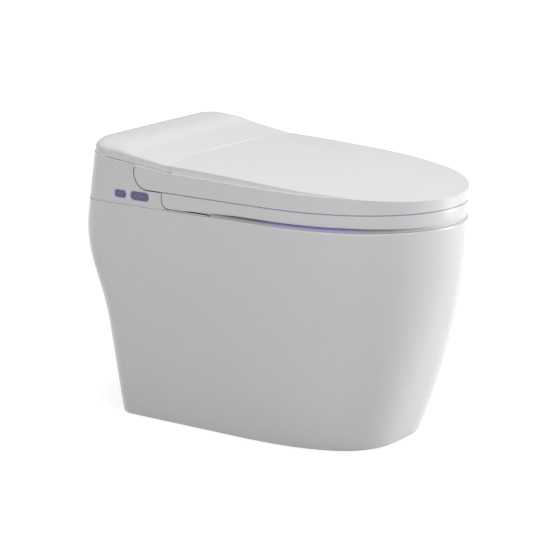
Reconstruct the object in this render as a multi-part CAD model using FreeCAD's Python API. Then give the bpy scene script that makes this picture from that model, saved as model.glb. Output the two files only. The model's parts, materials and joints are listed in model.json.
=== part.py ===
import FreeCAD, Part
import math
import os

# A floor-standing smart toilet: a ceramic pan with a closed skirt, and on its rear deck a
# plastic unit that carries the lid, the heated seat, the wash nozzle, the dryer, the flush
# pump and the electronics. There is no cistern.
#
# Frame: millimetres, +Z up, origin on the floor at the middle of the overall length and
# width. The front points to -Y. The side with the two buttons is -X, on the right of
# someone who sits on it.
#
# The ceramic pan is made of five castings that are joined while the clay is still damp:
# the skirt, the deck, the hollows under the deck, the bowl and the trapway.

# Overall sizes
overall_length = 688.0
overall_width = 392.0
rim_height = 405.5

# Seat, lid and cover, stacked on the rim
seat_gap = 3.5
seat_thickness = 27.0
lid_gap = 1.5
lid_front_thickness = 18.5
lid_middle_rise = 5.0
lid_split_rise = 54.9
crease_rise = 35.0
crease_front_fall = 9.0
crease_rear_rise = 55.0
cover_length = 213.0
cover_step_up = 0.8
cover_rear_rise = 72.5
cover_rise_shares = (0, 0.43, 0.83, 1, 1)
split_crown = 7.5
lid_middle_crown = 5.0
lid_front_crown = 3.0
cover_crown_shares = (1, 0.65, 0.3, 0.1, 0.1)
band_inset = 5.0

# Clearances and the overrun of cutting tools
fit_gap = 0.3
joint_gap = 1.0
pin_gap = 0.06
cut_over = 2.0

# Plan outline: the front is a superellipse, the sides run straight to the rear corners
rim_shoulder_setback = 284.0
rim_corner_radius = 64.0
side_power = 2.4
rim_tip_power = 2.0
front_steps = 24
oval_steps = 24
oval_middle_share = 0.44

# Skirt: how far the foot is drawn in, and how the walls run up from it
ceramic_wall = 11.0
rim_edge_radius = 4.0
foot_side_inset = 40.0
foot_front_inset = 102.0
foot_rear_inset = 56.0
foot_shoulder_shift = 70.0
foot_corner_loss = 20.0
foot_tip_power_share = 1.1
side_inset_power = 1.9
front_inset_power = 1.65
rear_inset_shares = (1, 0.93, 0.86, 0.77, 0.64, 0.37, 0.09, 0.005, 0.1)

# Service opening in the skirt's rear wall
service_half = 82.0
service_bottom = 26.0
service_top = 190.0
service_radius = 30.0

# Deck, bowl, nozzle trough and rear well
deck_thickness = 25.5
bowl_front_inset = 36.0
bowl_rear_gap = 51.0
bowl_side_inset = 62.0
bowl_floor_height = 110.0
bowl_level_shares = (1.02, 1, 0.72, 0.42, 0.2, 0)
bowl_half_shares = (1, 1, 0.93, 0.68, 0.42, 0.27)
bowl_front_shares = (0, 0, 0.05, 0.22, 0.42, 0.56)
bowl_rear_shares = (0, 0, 0.03, 0.09, 0.14, 0.17)
trough_half = 68.0
trough_lead = 20.0
trough_low_depth = 45.5
trough_high_depth = 23.5
trough_setback = 39.0
well_side_inset = 56.0
well_front_gap = 20.0
well_rear_gap = 28.0
well_depth = 119.5
well_radius = 20.0

# Trapway, from the sump over the weir to the floor outlet
trap_radius = 26.0
trap_wall = 9.0
trap_bend = 44.0
sump_rise = 30.0
sump_lead = 100.0
weir_rise = 136.0
weir_setback = 70.0
down_rise = 40.0
down_setback = 126.0
rough_in = 303.0
outlet_bore = 40.0
outlet_wall = 9.0
outlet_lift = 12.0
outlet_depth = 34.0
outlet_turn_height = 82.0

# Rear unit: tray, shell with its nose, cover
deck_width_inset = 0.6
unit_lean_rate = 0.16
unit_corner_radius = 64.0
tray_thickness = 1.9
tray_window_half = 32.0
tray_window_front_gap = 26.0
tray_window_rear_gap = 30.0
shell_wall = 3.5
cover_skin = 3.5
cover_corner_radius = 50.0
cover_edge_radius = 6.0
nose_length = 35.0
nose_height = 60.5
nose_mouth_height = 22.0
seat_back_gap = 3.0
boss_radius = 5.0

# Lid, with its hinge: ear plates outside the rear unit, turning on one axis
lid_skin = 3.5
ear_thickness = 4.5
lid_ear_radius = 28.0
lid_pivot_setback = 43.0
lid_pin_radius = 4.0
lid_ear_lead = 56.0
panel_thickness = 3.0
panel_rise = 2.0
panel_rear_gap = 6.0
post_x_share = 0.62
post_front_share = 0.6
post_middle_share = 0.2
post_rear_share = 0.5

# Seat, with its hinge: two arms that reach into slots of the nose
seat_skin = 3.5
seat_edge_radius = 5.0
seat_hole_side_inset = 90.0
seat_hole_front_inset = 66.0
seat_hole_rear_gap = 74.0
seat_base_thickness = 3.0
seat_pivot_lead = 13.0
seat_pivot_rise = 19.0
seat_pin_radius = 4.0
seat_arm_radius = 8.0
seat_arm_inset = 25.5
seat_arm_width = 15.0
seat_ear_setback = 10.0
seat_ear_radius = 14.0
seat_post_x_share = 0.76
seat_post_front_share = 0.28
seat_post_rear_share = 0.4
pad_radius = 7.0
foil_inset = 14.0
foil_thickness = 0.8
light_inset = 6.0
light_width = 5.0
light_thickness = 1.6

# Dampers on the hinge pins
damper_length = 40.0
lid_damper_radius = 9.0
seat_damper_radius = 7.0
pin_reach = 28.0

# Side buttons, in the wall at -X
button_setback = 60.0
button_pitch = 43.4
button_rise = 18.0
wash_length = 41.0
wash_height = 16.0
flush_length = 26.0
flush_height = 14.0
button_corner_share = 0.45
button_stem_share = 0.25
button_depth = 7.0
button_travel = 1.5
face_recess = 0.2
ring_width = 2.2
flange_width = 1.0
flange_thickness = 1.2
board_thickness = 1.6
board_gap = 3.6
switch_share = 0.25

# Wash nozzle, drawn along +Y from its tip and then tilted into place
wand_slope = 24.0
wand_tip_lead = 12.0
wand_tip_drop = 11.5
wand_radius = 7.5
wand_length = 160.0
wand_gap = 0.35
tip_length = 26.0
tip_round_share = 0.33
spray_radius = 0.9
spray_pitch = 5.0
spray_rows = 3
sleeve_wall = 2.6
sleeve_front = 26.0
sleeve_length = 92.0
sleeve_foot_reach = 34.0

# Rack, pinion and stepper of the nozzle
gear_module = 1.0
pinion_teeth = 16
pressure_angle = 20.0
head_share = 0.85
foot_share = 1.15
tooth_backlash = 0.3
rack_start = 48.0
rack_height = 6.0
rack_width = 4.0
pinion_run = 53.0
pinion_shaft = 2.0
stepper_radius = 10.5
stepper_height = 14.0

# Ports in the floor of the well
port_side_gap = 40.0
port_rear_gap = 66.0
port_hole = 15.0
inlet_radius = 10.4
inlet_length = 40.0
inlet_bore = 5.2
valve_width = 46.0
valve_height = 52.0
valve_offset_share = 0.25
gland_radius = 12.0
gland_bore = 4.0
gland_length = 26.0

# Tank, pump and deck bolts
tank_side_gap = 12.0
tank_front_gap = 10.0
tank_rear_gap = 86.0
tank_top_gap = 8.0
tank_radius = 14.0
tank_top_radius = 4.6
neck_share = 0.3
pump_side_gap = 58.0
pump_front_gap = 42.0
pump_radius = 32.0
pump_length = 66.0
volute_radius = 38.0
volute_height = 26.0
hose_radius = 6.0
hose_wall = 1.6
hose_run = 22.0
deck_bolt_side_inset = 32.0
deck_bolt_rear_inset = 44.0
deck_bolt_radius = 4.0
deck_bolt_hole = 6.0

# Water block and air pump on the tray
block_side_gap = 33.0
block_setback = 29.0
block_width = 46.0
block_length = 110.0
block_height = 44.0
air_pump_radius = 15.0
air_pump_x = 60.0
air_pump_rear_gap = 16.4
air_pump_length = 50.0

# Electronics on the tray
board_side_gap = 41.0
board_setback = 29.0
board_width = 54.0
board_length = 102.0
board_rise = 6.0
chip_height = 8.0
chip_share = 0.4
chip_count = 4
supply_width = 64.0
supply_length = 44.0
supply_height = 34.0

# Blowers: warm-air dryer on the left of the nozzle, deodoriser on its right
dryer_x = 66.0
deodoriser_x = -62.0
blower_setback = 65.0
blower_radius = 28.0
blower_height = 40.0
blower_wall = 2.0
eye_radius = 12.0
hub_radius = 7.0
blade_count = 14
blade_thickness = 1.6
blade_turn = 30.0
fan_shaft = 2.0
duct_x = 54.0
duct_half = 13.0
duct_height = 15.0

# Heights
seat_bottom = rim_height + seat_gap
seat_top = seat_bottom + seat_thickness
lid_bottom = seat_top + lid_gap
lid_front_z = lid_bottom + lid_front_thickness
lid_split_z = lid_bottom + lid_split_rise
crease_z = lid_bottom + crease_rise
crease_rear_z = lid_bottom + crease_rear_rise
crease_slope = (crease_rear_z - crease_z) / cover_length
lid_crease_slope = crease_front_fall / (overall_length - cover_length)
cover_split_z = lid_split_z + cover_step_up
cover_rear_z = lid_bottom + cover_rear_rise
form_top = cover_rear_z + cut_over
deck_bottom = rim_height - deck_thickness
well_bottom = rim_height - well_depth
nose_top = rim_height + nose_height
unit_floor = rim_height + tray_thickness
button_z = rim_height + button_rise

# Places along the length
front_y = -overall_length / 2
rear_y = overall_length / 2
rim_shoulder_y = front_y + rim_shoulder_setback
unit_rear = rear_y - foot_rear_inset * rear_inset_shares[-1]
split_y = rear_y - cover_length
nose_front_y = split_y - nose_length
seat_back_y = nose_front_y - seat_back_gap
seat_ear_y = split_y + seat_ear_setback
seat_hole_front = front_y + seat_hole_front_inset
seat_hole_rear = seat_back_y - seat_hole_rear_gap
bowl_front = front_y + bowl_front_inset
bowl_rear = nose_front_y - bowl_rear_gap
bowl_length = bowl_rear - bowl_front
trough_front_y = bowl_rear - trough_lead
trough_rear_y = nose_front_y + trough_setback
well_front = split_y + well_front_gap
well_rear = rear_y - well_rear_gap
outlet_y = rear_y - rough_in
port_y = well_rear - port_rear_gap
pump_y = well_front + pump_front_gap
deck_bolt_y = rear_y - deck_bolt_rear_inset
blower_y = split_y + blower_setback
wash_y = split_y + button_setback
flush_y = wash_y + button_pitch

# Places across the width
half_width = overall_width / 2
core_half = half_width - ear_thickness - joint_gap
lid_ear_inner = half_width - ear_thickness
bowl_half = half_width - bowl_side_inset
seat_hole_half = half_width - seat_hole_side_inset
well_half = half_width - well_side_inset
seat_arm_outer = core_half - seat_arm_inset
seat_arm_inner = seat_arm_outer - seat_arm_width
port_x = well_half - port_side_gap
pump_x = well_half - pump_side_gap
tank_x0 = tank_side_gap - well_half
tank_x1 = pump_x - volute_radius - hose_run
deck_bolt_x = half_width - deck_bolt_side_inset
panel_x = deck_width_inset - half_width
lid_pin_inner = core_half - pin_reach
seat_pin_inner = seat_arm_inner - pin_reach

# Hinge axes
lid_pivot_y = split_y + lid_pivot_setback
lid_pivot_z = lid_bottom + lid_ear_radius
split_radius = math.hypot(lid_pivot_setback, lid_split_z - lid_pivot_z)
seat_pivot_y = split_y - seat_pivot_lead
seat_pivot_z = seat_top + seat_pivot_rise
slot_end_y = seat_pivot_y + seat_arm_radius + joint_gap

# Rack and pinion
tooth_head = head_share * gear_module
tooth_foot = foot_share * gear_module
tooth_pitch = math.pi * gear_module
pinion_radius = pinion_teeth * gear_module / 2
rack_line_x = wand_radius + rack_width
pinion_x = rack_line_x + pinion_radius

buttons = [
    (wash_y, wash_length, wash_height),
    (flush_y, flush_length, flush_height),
]

VX = FreeCAD.Vector(1, 0, 0)
VY = FreeCAD.Vector(0, 1, 0)
VZ = FreeCAD.Vector(0, 0, 1)
ORIGIN = FreeCAD.Vector(0, 0, 0)


def vec(x, y, z):
    return FreeCAD.Vector(x, y, z)


def block(x0, x1, y0, y1, z0, z1):
    """A box between two corners."""
    return Part.makeBox(x1 - x0, y1 - y0, z1 - z0, vec(x0, y0, z0))


def wide_block(half, y0, y1, z0, z1):
    """A box centred on X."""
    return block(-half, half, y0, y1, z0, z1)


def rod_x(radius, x0, x1, y, z):
    """A round bar along X."""
    return Part.makeCylinder(radius, x1 - x0, vec(x0, y, z), VX)


def rod_y(radius, y0, y1, x, z):
    """A round bar along Y."""
    return Part.makeCylinder(radius, y1 - y0, vec(x, y0, z), VY)


def rod_z(radius, z0, z1, x, y):
    """A round bar along Z."""
    return Part.makeCylinder(radius, z1 - z0, vec(x, y, z0), VZ)


def rounded_box(x0, x1, y0, y1, z0, z1, radius, axis):
    """A box with its edges along one axis rounded."""
    box = block(x0, x1, y0, y1, z0, z1)
    along = [e for e in box.Edges if e.tangentAt(e.FirstParameter).cross(axis).Length < pin_gap]
    return box.makeFillet(radius, along)


def mirrored(shape):
    """The same piece on the other side of the middle."""
    return shape.mirror(ORIGIN, VX)


def pair(shape):
    """A piece and its mirror image, as one shape."""
    return shape.fuse(mirrored(shape))


def fused(shapes):
    return shapes[0].multiFuse(shapes[1:]).removeSplitter()


def group(shapes):
    """Separate solids that share one node."""
    return Part.makeCompound([s for shape in shapes for s in shape.Solids])


def largest(shape):
    """The main solid of a cut, without its offcuts."""
    return max(shape.Solids, key=lambda solid: solid.Volume)


def prism_x(points, x0, x1):
    """A (y, z) polygon drawn out along X."""
    corners = [vec(x0, y, z) for y, z in points]
    face = Part.Face(Part.makePolygon(corners + corners[:1]))
    return face.extrude(vec(x1 - x0, 0, 0))


def level_edges(shape, z):
    """The edges of a shape that lie at one height."""
    return [
        e for e in shape.Edges
        if abs(e.BoundBox.ZMin - z) < pin_gap and abs(e.BoundBox.ZMax - z) < pin_gap
    ]


def front_points(half, front, shoulder, tip_power, z):
    """Points on the front superellipse, evenly spread towards the shoulders and the tip."""
    points = []
    for i in range(front_steps + 1):
        side = 1 if 2 * i <= front_steps else -1
        run = 2 * min(i, front_steps - i) / front_steps
        leave = run ** (side_power / 2)
        arrive = (1 - run) ** (tip_power / 2)
        turn = math.pi / 2 * leave / (leave + arrive)
        across = max(0, math.cos(turn)) ** (2 / tip_power) if run < 1 else 0
        along = math.sin(turn) ** (2 / side_power)
        points.append(vec(side * half * across, shoulder - (shoulder - front) * along, z))
    return points


def chord_spacing(points):
    """Curve parameters in proportion to the chords, so that every section shares them."""
    runs = [0]
    for a, b in zip(points, points[1:]):
        runs.append(runs[-1] + a.distanceToPoint(b))
    return [run / runs[-1] for run in runs]


front_spacing = chord_spacing(
    front_points(half_width, front_y, rim_shoulder_y, rim_tip_power, 0)
)


def front_edge(half, front, shoulder, tip_power, z):
    """The curved front, from the right shoulder round the tip to the left one."""
    curve = Part.BSplineCurve()
    curve.interpolate(
        Points=front_points(half, front, shoulder, tip_power, z),
        Parameters=front_spacing,
        InitialTangent=vec(0, -1, 0),
        FinalTangent=vec(0, 1, 0),
    )
    return curve.toShape()


def corner_edge(x, y, radius, side, z):
    """A rear corner arc; side is -1 on the left, going from the side to the rear."""
    middle = radius * (1 - math.sqrt(0.5))
    return Part.Arc(
        vec(side * x, y - radius, z),
        vec(side * (x - middle), y - middle, z),
        vec(side * (x - radius), y, z),
    ).toShape()


def outline(z, half, front, shoulder, tip_power, rear, radius):
    """A closed plan outline of the toilet at one height."""
    left = corner_edge(half, rear, radius, -1, z)
    right = corner_edge(half, rear, radius, 1, z)
    return Part.Wire([
        front_edge(half, front, shoulder, tip_power, z),
        Part.makeLine(vec(-half, shoulder, z), vec(-half, rear - radius, z)),
        left,
        Part.makeLine(vec(radius - half, rear, z), vec(half - radius, rear, z)),
        right,
        Part.makeLine(vec(half, rear - radius, z), vec(half, shoulder, z)),
    ])


def plan_prism(inset, rear, radius, z0, z1):
    """The rim's own outline, drawn in by inset and standing from z0 to z1."""
    wire = outline(
        z0, half_width - inset, front_y + inset, rim_shoulder_y, rim_tip_power, rear, radius
    )
    return Part.Face(wire).extrude(vec(0, 0, z1 - z0))


def oval(z, half, front, rear):
    """A closed oval with its widest place a little behind the middle."""
    middle = rear - (rear - front) * oval_middle_share
    points = []
    for i in range(oval_steps):
        turn = 2 * math.pi * i / oval_steps
        reach = rear - middle if turn < math.pi else middle - front
        points.append(vec(half * math.cos(turn), middle + reach * math.sin(turn), z))
    curve = Part.BSplineCurve()
    curve.interpolate(Points=points, PeriodicFlag=True)
    return Part.Wire([curve.toShape()])


def oval_prism(half, front, rear, z0, z1):
    return Part.Face(oval(z0, half, front, rear)).extrude(vec(0, 0, z1 - z0))


def bent_path(points, radius):
    """Straight runs joined by tangent arcs, in the plane x = 0; points are (y, z)."""
    places = [vec(0, y, z) for y, z in points]
    edges = []
    start = places[0]
    for before, corner, after in zip(places, places[1:], places[2:]):
        come = (corner - before).normalize()
        go = (after - corner).normalize()
        turn = come.getAngle(go)
        reach = radius * math.tan(turn / 2)
        first = corner - come * reach
        last = corner + go * reach
        inward = (go - come).normalize()
        centre = corner + inward * (radius / math.cos(turn / 2))
        middle = centre - inward * radius
        edges.append(Part.makeLine(start, first))
        edges.append(Part.Arc(first, middle, last).toShape())
        start = last
    edges.append(Part.makeLine(start, places[-1]))
    return Part.Wire(edges)


def tube_along(path, radius):
    """A round bar that follows a path."""
    start = path.Edges[0]
    direction = start.tangentAt(start.FirstParameter)
    ring = Part.Wire(Part.makeCircle(radius, start.valueAt(start.FirstParameter), direction))
    return path.makePipeShell([ring], True, False)


# The ceramic pan

def skirt_solid(inset):
    """The outer form drawn in by inset, from the floor to the rim."""
    wires = []
    last = len(rear_inset_shares) - 1
    for level, rear_share in enumerate(rear_inset_shares):
        share = level / last
        down = 1 - share
        wires.append(outline(
            rim_height * share,
            half_width - foot_side_inset * down ** side_inset_power - inset,
            front_y + foot_front_inset * down ** front_inset_power + inset,
            rim_shoulder_y + foot_shoulder_shift * down,
            rim_tip_power + foot_tip_power_share * down,
            rear_y - foot_rear_inset * rear_share - inset,
            rim_corner_radius - foot_corner_loss * down - inset,
        ))
    return Part.makeLoft(wires, True, False)


def pan_skirt():
    """Outer wall, from the foot to the rounded rim, with the service opening at the rear."""
    outer = skirt_solid(0)
    outer = outer.makeFillet(rim_edge_radius, level_edges(outer, rim_height))
    service = rounded_box(
        -service_half, service_half, well_rear - service_top, 2 * rear_y,
        service_bottom, service_top, service_radius, VY,
    )
    return largest(outer.cut(skirt_solid(ceramic_wall)).cut(service))


def bowl_solid(wall):
    """The bowl's inner space, grown by wall."""
    wires = []
    depth = rim_height - bowl_floor_height + wall
    shares = zip(bowl_level_shares, bowl_half_shares, bowl_front_shares, bowl_rear_shares)
    for level, half, front, rear in shares:
        wires.append(oval(
            bowl_floor_height - wall + depth * level,
            bowl_half * half + wall,
            bowl_front + bowl_length * front - wall,
            bowl_rear - bowl_length * rear + wall,
        ))
    return Part.makeLoft(wires, True, False)


def trough_prism(half, wall, top):
    """The nozzle's trough behind the bowl, grown by wall below and behind."""
    return prism_x([
        (trough_front_y, top),
        (trough_front_y, rim_height - trough_low_depth - wall),
        (trough_rear_y + wall, rim_height - trough_high_depth - wall),
        (trough_rear_y + wall, top),
    ], -half, half)


def well_box(wall, z0, z1):
    """The rear well, grown by wall."""
    return rounded_box(-well_half - wall, well_half + wall, well_front - wall, well_rear + wall,
                       z0, z1, well_radius + wall, VZ)


def pan_deck():
    """Slab inside the skirt's top, open over the bowl, the trough and the well."""
    slab = skirt_solid(ceramic_wall)
    slab = slab.common(wide_block(overall_width, 2 * front_y, 2 * rear_y, deck_bottom, rim_height))
    slab = slab.cut(bowl_solid(0)).cut(well_box(0, well_bottom, rim_height + cut_over))
    slab = slab.cut(trough_prism(trough_half, 0, rim_height + cut_over))
    for side in (-1, 1):
        slab = slab.cut(rod_z(deck_bolt_hole, deck_bottom - cut_over, rim_height + cut_over,
                              side * deck_bolt_x, deck_bolt_y))
    return largest(slab)


def pan_hollows():
    """Walls of the rear well and of the nozzle's trough, hanging under the deck."""
    well = well_box(ceramic_wall, well_bottom - ceramic_wall, deck_bottom)
    trough = trough_prism(trough_half + ceramic_wall, ceramic_wall, deck_bottom)
    walls = well.fuse(trough).common(skirt_solid(ceramic_wall)).cut(bowl_solid(0))
    walls = walls.cut(well_box(0, well_bottom, rim_height + cut_over))
    walls = walls.cut(trough_prism(trough_half, 0, rim_height + cut_over))
    for side in (-1, 1):
        walls = walls.cut(rod_z(port_hole, well_bottom - 2 * ceramic_wall, well_bottom + cut_over,
                                side * port_x, port_y))
    return largest(walls)


def trap_path():
    return bent_path([
        (bowl_rear - sump_lead, bowl_floor_height + sump_rise),
        (bowl_rear + weir_setback, bowl_floor_height + weir_rise),
        (bowl_rear + down_setback, bowl_floor_height + down_rise),
        (outlet_y, outlet_turn_height),
        (outlet_y, outlet_lift),
    ], trap_bend)


def pan_bowl():
    """The bowl's shell under the deck, open at the back into the trapway."""
    shell = bowl_solid(ceramic_wall)
    shell = shell.common(wide_block(half_width, front_y, rear_y, 0, deck_bottom))
    shell = shell.cut(bowl_solid(0)).cut(tube_along(trap_path(), trap_radius))
    return largest(shell.cut(trough_prism(trough_half + ceramic_wall, ceramic_wall, rim_height)))


def pan_trapway():
    """The trap: an arched tube from the sump over the weir to the outlet collar."""
    path = trap_path()
    collar = rod_z(outlet_bore + outlet_wall, outlet_lift, outlet_lift + outlet_depth, 0, outlet_y)
    bore = rod_z(outlet_bore, outlet_lift - cut_over, outlet_lift + outlet_depth - outlet_wall,
                 0, outlet_y)
    tube = tube_along(path, trap_radius + trap_wall).fuse(collar)
    tube = tube.cut(bowl_solid(ceramic_wall)).cut(tube_along(path, trap_radius)).cut(bore)
    return largest(tube)


def floor_seal():
    """Rubber ring between the outlet collar and the floor flange."""
    ring = rod_z(outlet_bore + outlet_wall, 0, outlet_lift, 0, outlet_y)
    return ring.cut(rod_z(outlet_bore, -cut_over, outlet_lift + cut_over, 0, outlet_y))


# The rear unit

def leaning_form(inset, radius, z0, z1):
    """The rim's outline drawn in by inset, leaning in at the rear towards the top."""
    wires = []
    for z in (z0, z1):
        rear = unit_rear - unit_lean_rate * (z - rim_height)
        wires.append(outline(
            z, half_width - deck_width_inset - inset, front_y + inset, rim_shoulder_y,
            rim_tip_power, rear - inset, radius,
        ))
    return Part.makeLoft(wires, True, True)


def unit_form(inset, z0, z1):
    """The rear unit's walls, drawn in by inset."""
    return leaning_form(inset, unit_corner_radius - inset, z0, z1)


def cover_form(inset):
    """The cover's walls, drawn in by inset."""
    return leaning_form(band_inset + inset, cover_corner_radius - inset, rim_height, form_top)


def crease_at(y):
    """Height of the ledge along the lid and the rear unit; it bends at the split."""
    slope = crease_slope if y > split_y else lid_crease_slope
    return crease_z + slope * (y - split_y)


def under_crease(y0, drop):
    """Everything behind y0 and under the crease, moved down by drop."""
    profile = [(y, crease_at(y) - drop) for y in (2 * rear_y, split_y, y0)]
    if y0 == split_y:
        profile.pop()
    return prism_x([(y0, -overall_length), (2 * rear_y, -overall_length)] + profile,
                   -half_width - cut_over, half_width + cut_over)


def ear_zone(grow):
    """Room beside the core for the ears of the seat and the lid, grown into the core."""
    inner = core_half - grow
    outer = half_width + cut_over
    seat_ear = block(inner, outer, front_y, seat_ear_y + joint_gap + grow, unit_floor, form_top)
    lid_ear = block(inner, outer, front_y, lid_pivot_y,
                    lid_bottom - joint_gap - grow, form_top)
    turn = rod_x(lid_ear_radius + joint_gap + grow, inner, outer, lid_pivot_y, lid_pivot_z)
    return seat_ear.multiFuse([lid_ear, turn])


def arm_slot(grow):
    """Slot in the nose for one hinge arm of the seat."""
    return block(
        seat_arm_inner - joint_gap - grow, seat_arm_outer + joint_gap + grow,
        nose_front_y - cut_over, slot_end_y + grow, rim_height - cut_over, form_top,
    )


def base_tray():
    """Chassis plate on the deck; its front tongue reaches under the seat."""
    behind = seat_ear_y + joint_gap
    full = unit_form(0, rim_height, unit_floor)
    tongue = full.common(wide_block(half_width, bowl_rear, behind, rim_height, unit_floor))
    inner = unit_form(shell_wall + fit_gap, rim_height, unit_floor)
    inner = inner.common(wide_block(half_width, behind - cut_over, rear_y, rim_height, unit_floor))
    z0 = rim_height - cut_over
    z1 = unit_floor + cut_over
    window = wide_block(tray_window_half, well_front + tray_window_front_gap,
                        well_rear - tray_window_rear_gap, z0, z1)
    mouth = wide_block(trough_half, bowl_rear - cut_over, trough_rear_y, z0, z1)
    plate = tongue.fuse(inner).cut(window).cut(mouth)
    for side in (-1, 1):
        plate = plate.cut(rod_z(deck_bolt_radius + fit_gap, z0, z1,
                                side * deck_bolt_x, deck_bolt_y))
    sleeve_room = wand_radius + wand_gap + sleeve_wall + fit_gap
    plate = plate.cut(tilted(rod_y(sleeve_room, 0, wand_length, 0, 0)))
    return plate.removeSplitter()


def hinge_holes():
    """Bores in the unit's walls: y, z, radius and x range, for one side."""
    room = 2 * fit_gap
    wall = 2 * shell_wall
    return [
        (lid_pivot_y, lid_pivot_z, lid_pin_radius + room, core_half - wall, half_width),
        (seat_pivot_y, seat_pivot_z, seat_pin_radius + room,
         seat_arm_inner - wall, seat_arm_outer + wall),
    ]


def unit_shell():
    """The rear unit's side walls with the nose that holds both hinges."""
    below = rim_height - cut_over
    inside_y = split_y + shell_wall
    main = unit_form(0, rim_height, form_top).common(under_crease(split_y, 0))
    nose = wide_block(core_half, nose_front_y, inside_y, unit_floor, nose_top)
    room = unit_form(shell_wall, below, form_top + cut_over)
    room = room.common(wide_block(half_width, inside_y, rear_y, below, form_top))
    nose_room = wide_block(core_half - shell_wall, nose_front_y + shell_wall,
                           inside_y + shell_wall, below, nose_top - shell_wall)
    room = room.cut(pair(ear_zone(shell_wall))).fuse(nose_room)
    room = room.cut(pair(arm_slot(shell_wall)))
    body = main.fuse(nose).cut(room).cut(pair(ear_zone(0))).cut(pair(arm_slot(0)))
    under = wide_block(half_width, front_y, seat_ear_y + joint_gap, below, unit_floor)
    mouth = wide_block(trough_half, nose_front_y - cut_over, nose_front_y + 2 * shell_wall,
                       unit_floor - cut_over, unit_floor + nose_mouth_height)
    body = body.cut(under).cut(mouth)
    for pin_y, pin_z, radius, x0, x1 in hinge_holes():
        body = body.cut(pair(rod_x(radius, x0, x1, pin_y, pin_z)))
    for centre_y, length, height in buttons:
        body = body.cut(button_form(centre_y, length + 2 * ring_width, height + 2 * ring_width,
                                    -half_width - cut_over, panel_x + shell_wall + cut_over))
    return largest(body)


def crowned_section(y, top, crown):
    """A section across the width, with an arched top that falls by crown at the sides."""
    arc = Part.Arc(vec(-half_width, y, top - crown), vec(0, y, top),
                   vec(half_width, y, top - crown)).toShape()
    corners = [vec(half_width, y, top - crown), vec(half_width, y, rim_height),
               vec(-half_width, y, rim_height), vec(-half_width, y, top - crown)]
    sides = [Part.makeLine(a, b) for a, b in zip(corners, corners[1:])]
    return Part.Wire([arc] + sides)


def cover_body(inset, drop):
    """The cover behind the split, lowered by drop; its top flattens out to the rear."""
    sections = []
    last = len(cover_rise_shares) - 1
    for step, (rise, crown) in enumerate(zip(cover_rise_shares, cover_crown_shares)):
        top = cover_split_z + (cover_rear_z - cover_split_z) * rise - drop
        y = split_y + cover_length * step / last
        sections.append(crowned_section(y, top, split_crown * crown))
    return cover_form(inset).common(Part.makeLoft(sections, True, False))


def cover_nose(inset, drop):
    """The part of the cover's form that reaches ahead of the split, under the lid."""
    ends = [crowned_section(y, cover_split_z - drop, split_crown) for y in (nose_front_y, split_y)]
    return cover_form(inset).common(Part.makeLoft(ends, True, True))


def behind_split(radius):
    """Room behind the split: a round nose on the lid's axis and all that follows it."""
    nose = rod_x(radius, -half_width, half_width, lid_pivot_y, lid_pivot_z)
    return nose.fuse(wide_block(half_width, lid_pivot_y, rear_y, rim_height, form_top))


def top_cover():
    """Fixed cover behind the lid, sloping up to the rear."""
    body = cover_body(0, 0)
    rim = [e for e in body.Edges if e.BoundBox.ZMin > crease_z
           and e.BoundBox.YMax > split_y + cut_over]
    outer = body.makeFillet(cover_edge_radius, rim).fuse(cover_nose(0, 0))
    outer = outer.common(behind_split(split_radius - joint_gap))
    outer = outer.cut(under_crease(nose_front_y, 0))
    room = cover_body(cover_skin, cover_skin).fuse(cover_nose(cover_skin, cover_skin))
    room = room.common(behind_split(split_radius - joint_gap - cover_skin))
    return largest(outer.cut(room))


# The lid

def under_lid(drop):
    """Everything under the lid's dome, lowered by drop."""
    middle_y = (front_y + split_y) / 2
    middle_z = (lid_front_z + lid_split_z) / 2 + lid_middle_rise
    return Part.makeLoft([
        crowned_section(front_y - cut_over, lid_front_z - drop, lid_front_crown),
        crowned_section(middle_y, middle_z - drop, lid_middle_crown),
        crowned_section(split_y + cut_over, lid_split_z - drop, split_crown),
    ], True, False)


def lid_form(side, drop, z0):
    """The lid's outer form drawn in by side and lowered by drop."""
    low = plan_prism(side, rear_y, rim_corner_radius, z0, form_top)
    low = low.common(under_crease(2 * front_y, drop))
    high = plan_prism(side + band_inset, rear_y, rim_corner_radius, z0, form_top)
    return low.fuse(high).common(under_lid(drop))


def lid_posts():
    """Places of the posts that carry the lid's inner panel."""
    rows = (front_y * post_front_share, front_y * post_middle_share,
            nose_front_y * post_rear_share)
    return [(side * half_width * post_x_share, y) for side in (-1, 1) for y in rows]


def lid_shell():
    """Domed lid: skin, side walls and the two ears that turn outside the rear unit."""
    outer = lid_form(0, 0, lid_bottom)
    outer = outer.cut(lid_form(ear_thickness, lid_skin, lid_bottom - cut_over))
    tail = rod_x(split_radius, -half_width, half_width, lid_pivot_y, lid_pivot_z)
    tail = tail.fuse(wide_block(half_width, split_y - lid_skin, rear_y, rim_height, crease_z))
    body = largest(outer.cut(tail))
    ear_y = split_y - lid_ear_lead
    ear = prism_x([
        (ear_y, lid_bottom), (lid_pivot_y, lid_bottom), (lid_pivot_y, crease_z), (ear_y, crease_z),
    ], lid_ear_inner, half_width)
    ear_end = rod_x(lid_ear_radius, lid_ear_inner, half_width, lid_pivot_y, lid_pivot_z)
    ear = ear.fuse(ear_end).common(under_crease(nose_front_y - lid_ear_radius, 0))
    posts = [rod_z(boss_radius, lid_bottom + panel_rise + panel_thickness, form_top, x, y)
             .common(under_lid(lid_skin / 2)) for x, y in lid_posts()]
    return body.multiFuse([pair(ear)] + posts).removeSplitter()


def lid_panel():
    """Flat inner panel that closes the lid from below."""
    z0 = lid_bottom + panel_rise
    z1 = z0 + panel_thickness
    plate = plan_prism(ear_thickness + fit_gap, rear_y, rim_corner_radius, z0, z1)
    return plate.common(wide_block(half_width, front_y, nose_front_y - panel_rear_gap, z0, z1))


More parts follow.
